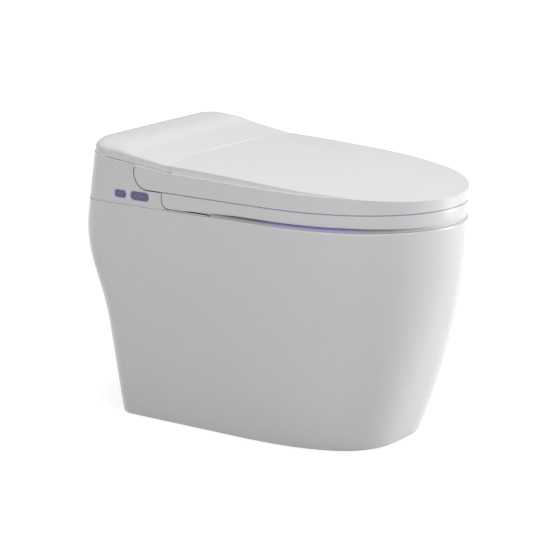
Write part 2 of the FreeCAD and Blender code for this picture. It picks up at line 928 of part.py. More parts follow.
def lid_pads():
    """Rubber pads under the lid's panel, one below each post."""
    z0 = seat_top + fit_gap
    return group([rod_z(pad_radius, z0, lid_bottom + panel_rise, x, y) for x, y in lid_posts()])


def lid_pins():
    """Hinge pins fixed in the ears, running in the dampers."""
    return group([pair(rod_x(lid_pin_radius, lid_pin_inner, lid_ear_inner,
                             lid_pivot_y, lid_pivot_z))])


# The seat

def seat_ring(inset, z0, z1, hole_inset):
    """The seat's ring between two heights, drawn in at its rim and at its hole."""
    ring = plan_prism(inset, rear_y, rim_corner_radius, z0, z1)
    ring = ring.common(wide_block(half_width, front_y, seat_back_y - inset, z0, z1))
    return ring.cut(oval_prism(seat_hole_half + hole_inset, seat_hole_front - hole_inset,
                               seat_hole_rear + hole_inset, z0 - cut_over, z1 + cut_over))


def seat_posts():
    """Places of the posts between the two seat shells."""
    rows = (front_y * seat_post_front_share, nose_front_y * seat_post_rear_share)
    return [(side * half_width * seat_post_x_share, y) for side in (-1, 1) for y in rows]


def seat_shell():
    """Upper seat shell with side ears and the two hinge arms."""
    front = seat_back_y - seat_skin
    body = seat_ring(0, seat_bottom, seat_top, 0)
    body = body.makeFillet(seat_edge_radius, level_edges(body, seat_top))
    body = body.cut(seat_ring(seat_skin, seat_bottom - cut_over, seat_top - seat_skin, seat_skin))
    ear = block(lid_ear_inner, half_width, front, seat_ear_y, seat_bottom, seat_top)
    low_edge = [e for e in level_edges(ear, seat_bottom)
                if abs(e.BoundBox.YMin - seat_ear_y) < pin_gap]
    ear = ear.makeFillet(seat_ear_radius, low_edge)
    arm = prism_x([
        (front, seat_bottom), (seat_back_y, seat_bottom),
        (seat_pivot_y + seat_arm_radius, seat_pivot_z),
        (seat_pivot_y, seat_pivot_z), (front, seat_top - seat_skin),
    ], seat_arm_inner, seat_arm_outer)
    barrel = rod_x(seat_arm_radius, seat_arm_inner, seat_arm_outer, seat_pivot_y, seat_pivot_z)
    posts = [rod_z(boss_radius, seat_bottom + seat_base_thickness, seat_top - seat_skin, x, y)
             for x, y in seat_posts()]
    return body.multiFuse([pair(ear), pair(arm), pair(barrel)] + posts).removeSplitter()


def seat_base():
    """Lower seat shell, closing the ring from below."""
    gap = seat_skin + fit_gap
    return seat_ring(gap, seat_bottom, seat_bottom + seat_base_thickness, gap)


def seat_heater():
    """Heating foil under the seat's top skin."""
    z1 = seat_top - seat_skin
    foil = seat_ring(foil_inset, z1 - foil_thickness, z1, foil_inset)
    for x, y in seat_posts():
        foil = foil.cut(rod_z(boss_radius + fit_gap, seat_bottom, seat_top, x, y))
    return foil


def seat_pads():
    """Rubber pads under the seat, which rest on the rim."""
    z0 = rim_height + fit_gap
    rows = (front_y * seat_post_front_share, bowl_rear - 2 * pad_radius)
    places = [(side * half_width * seat_post_x_share, y) for side in (-1, 1) for y in rows]
    return group([rod_z(pad_radius, z0, seat_bottom, x, y) for x, y in places])


def seat_light():
    """Light guide under the seat's edge, which shines out through the gap."""
    z0 = seat_bottom - light_thickness
    ring = plan_prism(light_inset, rear_y, rim_corner_radius, z0, seat_bottom)
    ring = ring.cut(plan_prism(light_inset + light_width, rear_y, rim_corner_radius,
                               z0 - cut_over, seat_bottom + cut_over))
    return ring.common(wide_block(half_width, front_y, bowl_rear - cut_over, z0, seat_bottom))


def seat_pins():
    """Hinge pins fixed in the arms, running in the dampers."""
    return group([pair(rod_x(seat_pin_radius, seat_pin_inner, seat_arm_inner,
                             seat_pivot_y, seat_pivot_z))])


def damper(radius, pin, x1, y, z):
    """Rotary damper that ends at x1, with its bore for the pin."""
    body = rod_x(radius, x1 - damper_length, x1, y, z)
    return body.cut(rod_x(pin + pin_gap, x1 - pin_reach, x1 + cut_over, y, z))


def lid_dampers():
    x1 = core_half - shell_wall
    return group([pair(damper(lid_damper_radius, lid_pin_radius, x1, lid_pivot_y, lid_pivot_z))])


def seat_dampers():
    x1 = seat_arm_inner - joint_gap - shell_wall
    return group([pair(damper(seat_damper_radius, seat_pin_radius, x1,
                              seat_pivot_y, seat_pivot_z))])


# The side buttons

def button_form(centre_y, length, height, x0, x1):
    """A bar along X with a rounded rectangular section."""
    return rounded_box(x0, x1, centre_y - length / 2, centre_y + length / 2,
                       button_z - height / 2, button_z + height / 2,
                       height * button_corner_share, VX)


def push_button(centre_y, length, height):
    """Cap with a wider flange that keeps it behind the panel, and a stem for the switch."""
    face = panel_x + face_recess
    flange_x = panel_x + shell_wall + button_travel / 2
    cap = button_form(centre_y, length - 2 * fit_gap, height - 2 * fit_gap, face, flange_x)
    flange = button_form(centre_y, length + 2 * flange_width, height + 2 * flange_width,
                         flange_x, flange_x + flange_thickness)
    stem = rod_x(height * button_stem_share, flange_x, face + button_depth, centre_y, button_z)
    return cap.multiFuse([flange, stem]).removeSplitter()


def wash_button():
    return push_button(wash_y, wash_length, wash_height)


def flush_button():
    return push_button(flush_y, flush_length, flush_height)


def button_rings():
    """Translucent rings set into the panel round both buttons."""
    rings = []
    for centre_y, length, height in buttons:
        outer = button_form(centre_y, length + 2 * ring_width, height + 2 * ring_width,
                            panel_x, panel_x + shell_wall)
        rings.append(outer.cut(button_form(centre_y, length, height, panel_x - cut_over, 0)))
    return group(rings)


def switch_board():
    """Board behind the buttons with one switch under each stem."""
    board_x = panel_x + button_depth + board_gap
    back_x = board_x + board_thickness
    reach = (wash_length + wash_height) / 2
    board = block(board_x, back_x, wash_y - reach, flush_y + reach,
                  button_z - wash_height, button_z + wash_height)
    switch_x = board_x - board_gap + button_travel + fit_gap
    half = flush_height * switch_share
    pieces = []
    for y in (wash_y, flush_y):
        pieces.append(block(switch_x, board_x, y - half, y + half, button_z - half, button_z + half))
        pieces.append(block(board_x, back_x, y - boss_radius, y + boss_radius,
                            unit_floor, button_z))
    return board.multiFuse(pieces).removeSplitter()


# The wash nozzle

def tilted(shape):
    """Bring a nozzle piece from its own frame to its place."""
    shape.rotate(ORIGIN, VX, wand_slope)
    shape.translate(vec(0, nose_front_y - wand_tip_lead, rim_height - wand_tip_drop))
    return shape


def nozzle_tip():
    """Rounded spray head with two rows of holes on its upper side."""
    head = rod_y(wand_radius, 0, tip_length, 0, 0)
    head = head.makeFillet(wand_radius * tip_round_share,
                           [e for e in head.Edges if e.BoundBox.YMax < pin_gap])
    for row in range(spray_rows):
        for side in (-1, 1):
            head = head.cut(rod_z(spray_radius, 0, wand_radius + cut_over,
                                  side * spray_pitch / 3, spray_pitch * (row + 1)))
    return tilted(head)


def tooth_prism(base, top, foot_half, head_half, centre_y):
    """One straight-sided tooth in plan, from its foot at x = base to its head at x = top."""
    z0 = -rack_height / 2
    corners = [vec(base, centre_y - foot_half, z0), vec(top, centre_y - head_half, z0),
               vec(top, centre_y + head_half, z0), vec(base, centre_y + foot_half, z0)]
    face = Part.Face(Part.makePolygon(corners + corners[:1]))
    return face.extrude(vec(0, 0, rack_height))


def tooth_halves():
    """Half widths of a tooth at its foot, on the pitch line and at its head."""
    lean = math.tan(math.radians(pressure_angle))
    half = tooth_pitch / 4 - tooth_backlash / 2
    return half + tooth_foot * lean, half, half - tooth_head * lean


def nozzle_wand():
    """Wash pipe with the rack along its side."""
    foot_half, half, head_half = tooth_halves()
    base = rack_line_x - tooth_foot
    pipe = rod_y(wand_radius, tip_length, wand_length, 0, 0)
    bar = block(0, base, rack_start, wand_length, -rack_height / 2, rack_height / 2)
    count = int((wand_length - rack_start) / tooth_pitch)
    below = int((pinion_run - rack_start) / tooth_pitch)
    first = pinion_run + tooth_pitch / 2 - tooth_pitch * below
    teeth = [tooth_prism(base, rack_line_x + tooth_head, foot_half, head_half,
                         first + tooth_pitch * i) for i in range(count - 1)]
    return tilted(fused([pipe, bar] + teeth))


def nozzle_sleeve():
    """Guide tube with a slot for the rack and a foot on the tray."""
    bore = wand_radius + wand_gap
    y1 = sleeve_front + sleeve_length
    tube = rod_y(bore + sleeve_wall, sleeve_front, y1, 0, 0)
    tube = tube.cut(rod_y(bore, sleeve_front - cut_over, y1 + cut_over, 0, 0))
    slot = block(0, 2 * bore, sleeve_front - cut_over, y1 + cut_over,
                 -rack_height / 2 - fit_gap, rack_height / 2 + fit_gap)
    tube = tilted(tube.cut(slot))
    foot_y = trough_rear_y + boss_radius
    foot = wide_block(boss_radius, foot_y, foot_y + 2 * boss_radius,
                      unit_floor, unit_floor + sleeve_foot_reach)
    wash_room = tilted(rod_y(bore + sleeve_wall / 2, -sleeve_front, 2 * y1, 0, 0))
    above = tilted(wide_block(half_width, -sleeve_front, 2 * y1, 0, overall_width))
    return tube.fuse(foot.cut(wash_room).cut(above)).removeSplitter()


def nozzle_pinion():
    """Pinion on the stepper's shaft; one tooth points at the rack at rest."""
    foot_half, half, head_half = tooth_halves()
    z1 = rack_height / 2
    root = pinion_radius - tooth_foot
    centre = vec(pinion_x, pinion_run, 0)
    pieces = [rod_z(root, -z1, z1, pinion_x, pinion_run)]
    for i in range(pinion_teeth):
        tooth = tooth_prism(pinion_x - root + tooth_foot / 2, pinion_x - pinion_radius - tooth_head,
                            foot_half, half / 2, pinion_run)
        tooth.rotate(centre, VZ, 360 * i / pinion_teeth)
        pieces.append(tooth)
    pieces.append(rod_z(pinion_shaft, z1, z1 + stepper_height / 2, pinion_x, pinion_run))
    return tilted(fused(pieces))


def nozzle_stepper():
    """Stepper motor above the pinion, with its ears."""
    z0 = rack_height / 2 + fit_gap
    z1 = z0 + stepper_height
    x = pinion_x + pinion_shaft
    can = rod_z(stepper_radius, z0, z1, x, pinion_run)
    bore = rod_z(pinion_shaft + pin_gap, z0 - cut_over, z0 + stepper_height / 2 + fit_gap,
                 pinion_x, pinion_run)
    ear = rounded_box(0, x + 2 * stepper_radius, pinion_run - boss_radius,
                      pinion_run + boss_radius, z1 - cut_over, z1, boss_radius - fit_gap, VZ)
    return tilted(can.fuse(ear).cut(bore).removeSplitter())


# The water side, in and over the well

def inlet_nipple():
    """Water inlet, pointing down through the floor of the well."""
    z0 = well_bottom - ceramic_wall - inlet_length / 2
    pipe = rod_z(inlet_radius, z0, well_bottom + cut_over, port_x, port_y)
    shank = rod_z(port_hole - fit_gap, well_bottom - ceramic_wall, well_bottom, port_x, port_y)
    collar = rod_z(port_hole + cut_over, well_bottom, well_bottom + cut_over, port_x, port_y)
    bore = rod_z(inlet_bore, z0 - cut_over, well_bottom + 2 * cut_over, port_x, port_y)
    return fused([pipe, shank, collar]).cut(bore)


def inlet_valve():
    """Solenoid valve on the inlet: body and coil."""
    z0 = well_bottom + cut_over
    z1 = z0 + valve_height / 2
    half = valve_width / 2
    shift = valve_width * valve_offset_share
    body = rounded_box(port_x - half, port_x + shift, port_y - shift, port_y + half,
                       z0, z1, boss_radius, VZ)
    coil = rod_z(half / 2, z1, z0 + valve_height, port_x - shift / 2, port_y + shift / 2)
    return body.fuse(coil)


def flush_tank():
    """Water tank hidden in the well, with its filler neck."""
    y0 = well_front + tank_front_gap
    y1 = well_rear - tank_rear_gap
    z1 = rim_height - tank_top_gap
    tank = rounded_box(tank_x0, tank_x1, y0, y1, well_bottom, z1, tank_radius, VZ)
    tank = tank.makeFillet(tank_top_radius, level_edges(tank, z1))
    neck_x = tank_x0 + (tank_x1 - tank_x0) * neck_share
    neck = rod_z(2 * boss_radius, z1 - cut_over, z1 + tank_top_gap, neck_x, (y0 + y1) / 2)
    return tank.fuse(neck)


def flush_pump():
    """Pump with its volute at the bottom of the well and the motor above."""
    z0 = well_bottom
    z1 = z0 + volute_height
    z2 = z1 + pump_length
    volute = rod_z(volute_radius, z0, z1, pump_x, pump_y)
    motor = rod_z(pump_radius, z1, z2, pump_x, pump_y)
    motor = motor.makeFillet(boss_radius, level_edges(motor, z2))
    spout = rod_y(2 * hose_radius, well_front, pump_y, pump_x, (z0 + z1) / 2)
    return fused([volute, motor, spout])


def pump_hose():
    """Short hose from the tank to the pump."""
    z = well_bottom + volute_height / 2
    x1 = pump_x - volute_radius
    outer = rod_x(hose_radius, tank_x1, x1, pump_y, z)
    return outer.cut(rod_x(hose_radius - hose_wall, tank_x1 - cut_over, x1 + cut_over, pump_y, z))


def cable_gland():
    """Gland for the mains lead in the floor of the well."""
    z0 = well_bottom - ceramic_wall - gland_length / 2
    z1 = well_bottom + 2 * cut_over
    body = rod_z(gland_radius, z0, well_bottom, -port_x, port_y)
    head = rod_z(port_hole + cut_over, well_bottom, z1, -port_x, port_y)
    bore = rod_z(gland_bore, z0 - cut_over, z1 + cut_over, -port_x, port_y)
    return body.fuse(head).cut(bore).removeSplitter()


def deck_bolts():
    """Bolts that hold the tray down on the deck, each with a nut under the slab."""
    bolts = []
    wide = 2 * deck_bolt_radius
    for side in (-1, 1):
        x = side * deck_bolt_x
        shank = rod_z(deck_bolt_radius, deck_bottom - 2 * wide, unit_floor, x, deck_bolt_y)
        head = rod_z(wide, unit_floor, unit_floor + deck_bolt_radius, x, deck_bolt_y)
        nut = rod_z(wide, deck_bottom - wide, deck_bottom, x, deck_bolt_y)
        bolts.append(fused([shank, head, nut]))
    return group(bolts)


def water_heater():
    """Instantaneous water heater block with two pipe stubs."""
    x1 = core_half - block_side_gap
    x0 = x1 - block_width
    y0 = split_y + block_setback
    y1 = y0 + block_length
    inset = 2 * hose_radius
    body = rounded_box(x0, x1, y0, y1, unit_floor, unit_floor + block_height,
                       2 * boss_radius, VY)
    stubs = [rod_y(hose_radius, y1, y1 + inset, x, unit_floor + block_height / 2)
             for x in (x0 + inset, x1 - inset)]
    return fused([body] + stubs)


def air_pump():
    """Small membrane pump that mixes air into the wash water."""
    z = unit_floor + air_pump_radius
    y1 = unit_rear - air_pump_rear_gap
    y0 = y1 - air_pump_length
    body = rod_y(air_pump_radius, y0, y1, air_pump_x, z)
    foot = block(air_pump_x - air_pump_radius, air_pump_x + air_pump_radius, y0, y1,
                 unit_floor, unit_floor + air_pump_radius / 2)
    return fused([body, foot])


# The electronics

def control_board():
    """Main board on posts, with its larger components."""
    x0 = board_side_gap - core_half
    x1 = x0 + board_width
    y0 = split_y + board_setback
    y1 = y0 + board_length
    z0 = unit_floor + board_rise
    z1 = z0 + board_thickness
    board = block(x0, x1, y0, y1, z0, z1)
    posts = [rod_z(boss_radius / 2, unit_floor, z0, x, y)
             for x in (x0 + boss_radius, x1 - boss_radius)
             for y in (y0 + boss_radius, y1 - boss_radius)]
    run = board_length / chip_count
    chips = [block(x0 + 2 * boss_radius, x1 - 4 * boss_radius,
                   y0 + run * (i + chip_share), y0 + run * (i + 1),
                   z1, z1 + chip_height * (1 + i % 2)) for i in range(chip_count)]
    return fused([board] + posts + chips)


def power_supply():
    """Potted power supply behind the main board."""
    x0 = board_side_gap - core_half
    y0 = split_y + board_setback + board_length + 2 * boss_radius
    return rounded_box(x0, x0 + supply_width, y0, y0 + supply_length,
                       unit_floor, unit_floor + supply_height, boss_radius, VZ)


# The air side

def scroll(x):
    """Blower casing: a round scroll with an intake eye on top and the fan's axle."""
    z0 = unit_floor
    z1 = z0 + blower_height
    outer = rod_z(blower_radius, z0, z1, x, blower_y)
    inner = rod_z(blower_radius - blower_wall, z0 + blower_wall, z1 - blower_wall, x, blower_y)
    eye = rod_z(eye_radius, z1 - 2 * blower_wall, z1 + cut_over, x, blower_y)
    axle = rod_z(fan_shaft, z0, z1 - 2 * blower_wall, x, blower_y)
    return outer.cut(inner).cut(eye).fuse(axle)


def impeller(x):
    """Impeller: hub, back plate and a ring of leaning blades."""
    z0 = unit_floor + 2 * blower_wall
    z1 = unit_floor + blower_height - 2 * blower_wall
    tip = blower_radius - 2 * blower_wall
    blade_tip = blower_y + tip - blade_thickness
    pieces = [rod_z(hub_radius, z0, z1 - cut_over, x, blower_y),
              rod_z(tip, z0, z0 + blower_wall, x, blower_y)]
    for i in range(blade_count):
        blade = block(x - blade_thickness / 2, x + blade_thickness / 2,
                      blower_y + (hub_radius + tip) / 2, blade_tip, z0, z1)
        blade.rotate(vec(x, blade_tip, 0), VZ, blade_turn)
        blade.rotate(vec(x, blower_y, 0), VZ, 360 * i / blade_count)
        pieces.append(blade)
    bore = rod_z(fan_shaft + pin_gap, unit_floor, z1 + cut_over, x, blower_y)
    return fused(pieces).cut(bore)


def duct(fan_x, side):
    """Rectangular duct from a scroll to the mouth over the bowl."""
    z0 = unit_floor + 2 * blower_wall
    z1 = z0 + duct_height
    y0 = nose_front_y + 2 * shell_wall
    y1 = blower_y - blower_radius / 2
    x = side * duct_x
    outer = block(x - duct_half, x + duct_half, y0, y1, z0, z1)
    inner = block(x - duct_half + blower_wall, x + duct_half - blower_wall, y0 - cut_over,
                  y1 + cut_over, z0 + blower_wall, z1 - blower_wall)
    inside = rod_z(blower_radius, z0 - cut_over, z1 + cut_over, fan_x, blower_y)
    return largest(outer.cut(inner).cut(inside))


def dryer_casing():
    return scroll(dryer_x)


def dryer_impeller():
    return impeller(dryer_x)


def dryer_duct():
    return duct(dryer_x, 1)


def deodoriser_casing():
    return scroll(deodoriser_x)


def deodoriser_impeller():
    return impeller(deodoriser_x)


def deodoriser_duct():
    return duct(deodoriser_x, -1)


def carbon_filter():
    """Carbon cartridge behind the deodoriser fan."""
    y0 = blower_y + blower_radius + fit_gap
    return rounded_box(deodoriser_x - blower_radius, deodoriser_x + blower_radius, y0,
                       y0 + blower_radius, unit_floor, unit_floor + blower_height / 2,
                       boss_radius, VZ)


MAKERS = [
    pan_skirt, pan_deck, pan_hollows, pan_bowl, pan_trapway, floor_seal,
    base_tray, unit_shell, top_cover, deck_bolts,
    lid_shell, lid_panel, lid_pads, lid_pins, lid_dampers,
    seat_shell, seat_base, seat_heater, seat_pads, seat_light, seat_pins, seat_dampers,
    wash_button, flush_button, button_rings, switch_board,
    nozzle_sleeve, nozzle_wand, nozzle_tip, nozzle_pinion, nozzle_stepper,
    inlet_nipple, inlet_valve, flush_tank, flush_pump, pump_hose, cable_gland,
    water_heater, air_pump, control_board, power_supply,
    dryer_casing, dryer_impeller, dryer_duct,
    deodoriser_casing, deodoriser_impeller, deodoriser_duct, carbon_filter,
]

os.makedirs("parts", exist_ok=True)
for make in MAKERS:
    shape = make()
    name = make.__name__
    box = shape.optimalBoundingBox(False, False)
    print(name, "valid" if shape.isValid() else "INVALID", len(shape.Solids), "solids",
          round(shape.Volume / 1000, 1), "cm3",
          [round(v, 1) for v in (box.XMin, box.XMax, box.YMin, box.YMax, box.ZMin, box.ZMax)])
    shape.exportStep("parts/" + name + ".step")
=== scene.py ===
# %% [markdown]
# A smart toilet is a glazed ceramic pan with a plastic unit on its rear deck: lid, seat,
# nozzle and electronics in one housing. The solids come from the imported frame, in metres,
# with +Z up and the front of the bowl towards -Y. This lesson loads them, dresses them and
# lights them. Loading first means that every later piece can be placed by what is there.

# %% Load the frame
import json
import math

import bmesh
import bpy
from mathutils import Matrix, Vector


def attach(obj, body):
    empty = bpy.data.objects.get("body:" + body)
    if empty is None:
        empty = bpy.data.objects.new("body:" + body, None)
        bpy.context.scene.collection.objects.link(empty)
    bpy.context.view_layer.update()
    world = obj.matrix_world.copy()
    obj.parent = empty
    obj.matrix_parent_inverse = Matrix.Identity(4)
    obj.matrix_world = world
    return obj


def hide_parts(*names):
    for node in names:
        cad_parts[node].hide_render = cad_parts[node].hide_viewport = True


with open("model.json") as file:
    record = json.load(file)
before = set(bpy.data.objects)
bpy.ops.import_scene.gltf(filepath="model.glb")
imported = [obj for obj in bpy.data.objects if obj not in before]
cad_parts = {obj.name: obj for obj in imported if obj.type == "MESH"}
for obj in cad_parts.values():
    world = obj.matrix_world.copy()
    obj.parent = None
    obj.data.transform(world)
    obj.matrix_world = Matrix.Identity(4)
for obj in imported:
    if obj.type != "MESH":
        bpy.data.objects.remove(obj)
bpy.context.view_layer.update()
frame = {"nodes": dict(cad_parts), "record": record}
nodes = frame["nodes"]

# %% [markdown]
# The photograph was taken from the front right of the seated user, a little above the rim,
# with a long lens: the sides hardly converge. The camera is set from an azimuth, an
# elevation and a distance round one target point, because those are the numbers that a
# fit to the outline gives.

# %% Camera
camera_azimuth = math.radians(-55.21)
camera_elevation = math.radians(14.24)
camera_distance = 4.3045
camera_target = Vector((-0.00696, 0.01849, 0.2563))

camera_data = bpy.data.cameras.new("camera")
camera_data.sensor_width = 36.0
camera_data.lens = 152.54
camera = bpy.data.objects.new("camera", camera_data)
bpy.context.collection.objects.link(camera)
towards_camera = Vector((
    math.sin(camera_azimuth) * math.cos(camera_elevation),
    -math.cos(camera_azimuth) * math.cos(camera_elevation),
    math.sin(camera_elevation),
))
camera.location = camera_target + towards_camera * camera_distance
camera.rotation_euler = (-towards_camera).to_track_quat("-Z", "Y").to_euler()
bpy.context.scene.camera = camera
bpy.context.scene.view_settings.view_transform = "Standard"
print("camera at", [round(v, 3) for v in camera.location])

# %% [markdown]
# Materials are node trees, and most of their maths is plain arithmetic on numbers. Writing
# it as Python expressions keeps it readable, so one small class wraps a socket and turns
# +, -, * and / into Math nodes. It works in shader trees and in geometry trees alike. Any
# other node comes from add_node, which takes its kind, its settings and its values or links.

# %% Expressions on sockets
def set_stops(ramp, stops):
    """Give a colour ramp its (position, colour) stops, from 0 to 1."""
    for position, _ in stops[1:-1]:
        ramp.elements.new(position)
    for element, (position, colour) in zip(ramp.elements, stops):
        element.position = position
        element.color = (*colour, 1.0)


def set_points(mapping, points):
    """Give a curve its (place, height) points, from 0 to 1."""
    curve = mapping.curves[0]
    for place, height in points[1:-1]:
        curve.points.new(place, height)
    curve.points[0].location = points[0]
    curve.points[-1].location = points[-1]
    mapping.update()


def add_node(tree, kind, settings=None, values=None):
    """One node of a tree: settings first, then the values or links of its sockets."""
    node = tree.nodes.new(kind)
    for name, setting in (settings or {}).items():
        if name == "stops":
            set_stops(node.color_ramp, setting)
        elif name == "points":
            set_points(node.mapping, setting)
        else:
            setattr(node, name, setting)
    for name, value in (values or {}).items():
        socket = node.inputs[name]
        if isinstance(value, Number):
            value = value.socket
        if isinstance(value, bpy.types.NodeSocket):
            tree.links.new(value, socket)
        else:
            socket.default_value = value
    return node


class Number:
    """A number socket that can stand in a Python sum."""

    def __init__(self, tree, socket):
        self.tree = tree
        self.socket = socket

    def maths(self, operation, *others):
        values = dict(enumerate((self,) + others))
        node = add_node(self.tree, "ShaderNodeMath", {"operation": operation}, values)
        return Number(self.tree, node.outputs[0])

    def __add__(self, other):
        return self.maths("ADD", other)

    def __sub__(self, other):
        return self.maths("SUBTRACT", other)

    def __rsub__(self, other):
        return self.maths("MULTIPLY", -1.0).maths("ADD", other)

    def __mul__(self, other):
        return self.maths("MULTIPLY", other)

    def __truediv__(self, other):
        return self.maths("DIVIDE", other)

    def __pow__(self, other):
        return self.maths("POWER", other)

    __radd__ = __add__
    __rmul__ = __mul__


# %% [markdown]
# Every material starts from an empty tree. Its grain is noise over the object's own
# coordinates, so it stays with the piece when the piece moves.

# %% Starting a material
def new_material(name):
    """An empty material: returns it with its tree and its output node."""
    material = bpy.data.materials.new(name)
    material.use_nodes = True
    tree = material.node_tree
    tree.nodes.clear()
    output = add_node(tree, "ShaderNodeOutputMaterial")
    return material, tree, output


def noise(tree, scale, detail=2.0, rough=0.5):
    """Noise over the object's own coordinates, as a Number from 0 to 1."""
    place = add_node(tree, "ShaderNodeTexCoord")
    texture = add_node(tree, "ShaderNodeTexNoise", {}, {
        "Vector": place.outputs["Object"], "Scale": scale, "Detail": detail, "Roughness": rough,
    })
    return Number(tree, texture.outputs["Fac"])


def blend_colours(tree, mask, first, second):
    """First where mask is 0 and second where it is 1, each a colour or a socket."""
    ends = [end if isinstance(end, bpy.types.NodeSocket) else (*end, 1.0) for end in (first, second)]
    mix = add_node(tree, "ShaderNodeMix", {"data_type": "RGBA"}, {0: mask, 6: ends[0], 7: ends[1]})
    return mix.outputs[2]


def bump(tree, height, strength, distance):
    node = add_node(tree, "ShaderNodeBump", {}, {
        "Height": height, "Strength": strength, "Distance": distance,
    })
    return node.outputs["Normal"]


def set_surface(tree, output, values):
    """One Principled surface with these values or links."""
    shader = add_node(tree, "ShaderNodeBsdfPrincipled", {}, values)
    tree.links.new(shader.outputs[0], output.inputs["Surface"])


# %% [markdown]
# Vitreous china is a white clay body under a thick, clear glass glaze. Its colour is almost
# flat, but the glaze is never quite level: it pools a little, so highlights wander. That
# comes from a faint, wide bump, and the colour shifts by a few parts in a hundred at most.
# A clear coat over a slightly rougher body gives the two-layer gloss.

# %% Glaze
def make_glaze():
    material, tree, output = new_material("glaze")
    pool = noise(tree, 9.0, 2.0, 0.4)
    speck = noise(tree, 420.0, 2.0, 0.6)
    colour = blend_colours(tree, pool * 0.8 + speck * 0.2, (0.80, 0.80, 0.795), (0.83, 0.83, 0.827))
    set_surface(tree, output, {
        "Base Color": colour, "Roughness": 0.16 + pool * 0.05, "IOR": 1.5,
        "Coat Weight": 0.35, "Coat Roughness": 0.04,
        "Normal": bump(tree, pool + speck * 0.01, 0.08, 0.02),
    })
    return material


# %% [markdown]
# The lid, seat and rear unit are moulded in white thermoset or ABS and polished. Moulded
# plastic is a little softer in gloss than glaze and has a very fine, even grain. The same
# recipe serves every plastic here, with its own colour, gloss and grain.

# %% Moulded plastic
def make_plastic(name, dark, light, rough, grain=900.0, grain_depth=0.02, coat=0.0):
    material, tree, output = new_material(name)
    cloud = noise(tree, 7.0, 3.0, 0.5)
    fine = noise(tree, grain, 3.0, 0.6)
    set_surface(tree, output, {
        "Base Color": blend_colours(tree, cloud * 0.7 + fine * 0.3, dark, light),
        "Roughness": rough + cloud * 0.06 + fine * 0.03, "IOR": 1.49,
        "Coat Weight": coat, "Coat Roughness": 0.08,
        "Normal": bump(tree, fine + cloud, grain_depth, 0.001),
    })
    return material


# %% [markdown]
# Turned and ground metal shows fine lines across its length. A noise stretched along one
# axis makes them, and feeds both the roughness and a shallow bump.

# %% Metal
def make_metal(name, dark, light, rough, stretch=(40.0, 900.0, 900.0)):
    material, tree, output = new_material(name)
    place = add_node(tree, "ShaderNodeTexCoord")
    mapping = add_node(tree, "ShaderNodeMapping", {}, {
        "Vector": place.outputs["Object"], "Scale": stretch,
    })
    lines = add_node(tree, "ShaderNodeTexNoise", {}, {
        "Vector": mapping.outputs[0], "Scale": 1.0, "Detail": 3.0,
    })
    line = Number(tree, lines.outputs["Fac"])
    cloud = noise(tree, 60.0, 3.0)
    set_surface(tree, output, {
        "Base Color": blend_colours(tree, cloud * 0.6 + line * 0.4, dark, light),
        "Metallic": 1.0, "Roughness": rough + line * 0.14,
        "Normal": bump(tree, line, 0.1, 0.0004),
    })
    return material


# %% [markdown]
# The buttons, their rings and the guide under the seat are milky plastic with diodes behind
# them. Light leaks out unevenly, so the emission follows a soft noise, and a glossy shell
# stays in front of it. Along the seat, the guide is painted dark as shade outside one span.

# %% Backlit plastic
def make_backlit(name, body, glow, strength, lit_from=None, lit_to=None):
    """Plastic that glows all over, or glows only from lit_from to lit_to along the seat and is painted
    dark elsewhere, as shade.
    """
    material, tree, output = new_material(name)
    leak = noise(tree, 120.0, 2.0, 0.5)
    dim = 0.85
    if lit_from is not None:
        # Painted shade: outside the span, body colour and glow fall to 8 per cent.
        dim = 0.08
        place = add_node(tree, "ShaderNodeTexCoord")
        split = add_node(tree, "ShaderNodeSeparateXYZ", {}, {"Vector": place.outputs["Object"]})
        middle, reach = (lit_from + lit_to) / 2, (lit_to - lit_from) / 2
        off = (Number(tree, split.outputs["Y"]) - middle).maths("ABSOLUTE") / reach
        leak = ((1.25 - off) * 4.0).maths("MAXIMUM", 0.0).maths("MINIMUM", 1.0) * (0.85 + leak * 0.15)
    set_surface(tree, output, {
        "Base Color": blend_colours(tree, leak, tuple(c * dim for c in body), body),
        "Roughness": 0.25 + leak * 0.05,
        "Emission Color": blend_colours(tree, leak, tuple(c * dim for c in glow), glow),
        "Emission Strength": strength,
    })
    return material


# %% [markdown]
# The light guide's outer edge is what shows between seat and ceramic, and its colours are
# painted light and shade. Along the seat's side it is painted from black shade to violet glow
# and back, with a grey end at the front, and its foot is painted pale, as the ceramic rim
# that catches light below the shaded gap. A ramp along the length gives the colours, and they glow.

# %% Edge of the light guide, painted with shade and glow
lip_front, lip_length = -0.344, 0.382
lip_painted_light_from, lip_painted_light_depth = 0.4125, 0.0075
# Painted shade and glow along the strip, from the front: grey, black where the gap lies in shade, violet
# where the glow shows, then black again.
lip_painted_shade_stops = [
    (0.000, (0.50, 0.50, 0.52)), (0.060, (0.22, 0.22, 0.23)), (0.130, (0.10, 0.10, 0.11)),
    (0.194, (0.06, 0.06, 0.07)), (0.260, (0.06, 0.06, 0.09)), (0.285, (0.065, 0.06, 0.21)),
    (0.665, (0.055, 0.05, 0.19)), (0.700, (0.03, 0.03, 0.05)), (0.810, (0.03, 0.03, 0.03)),
    (1.000, (0.06, 0.06, 0.08)),
]


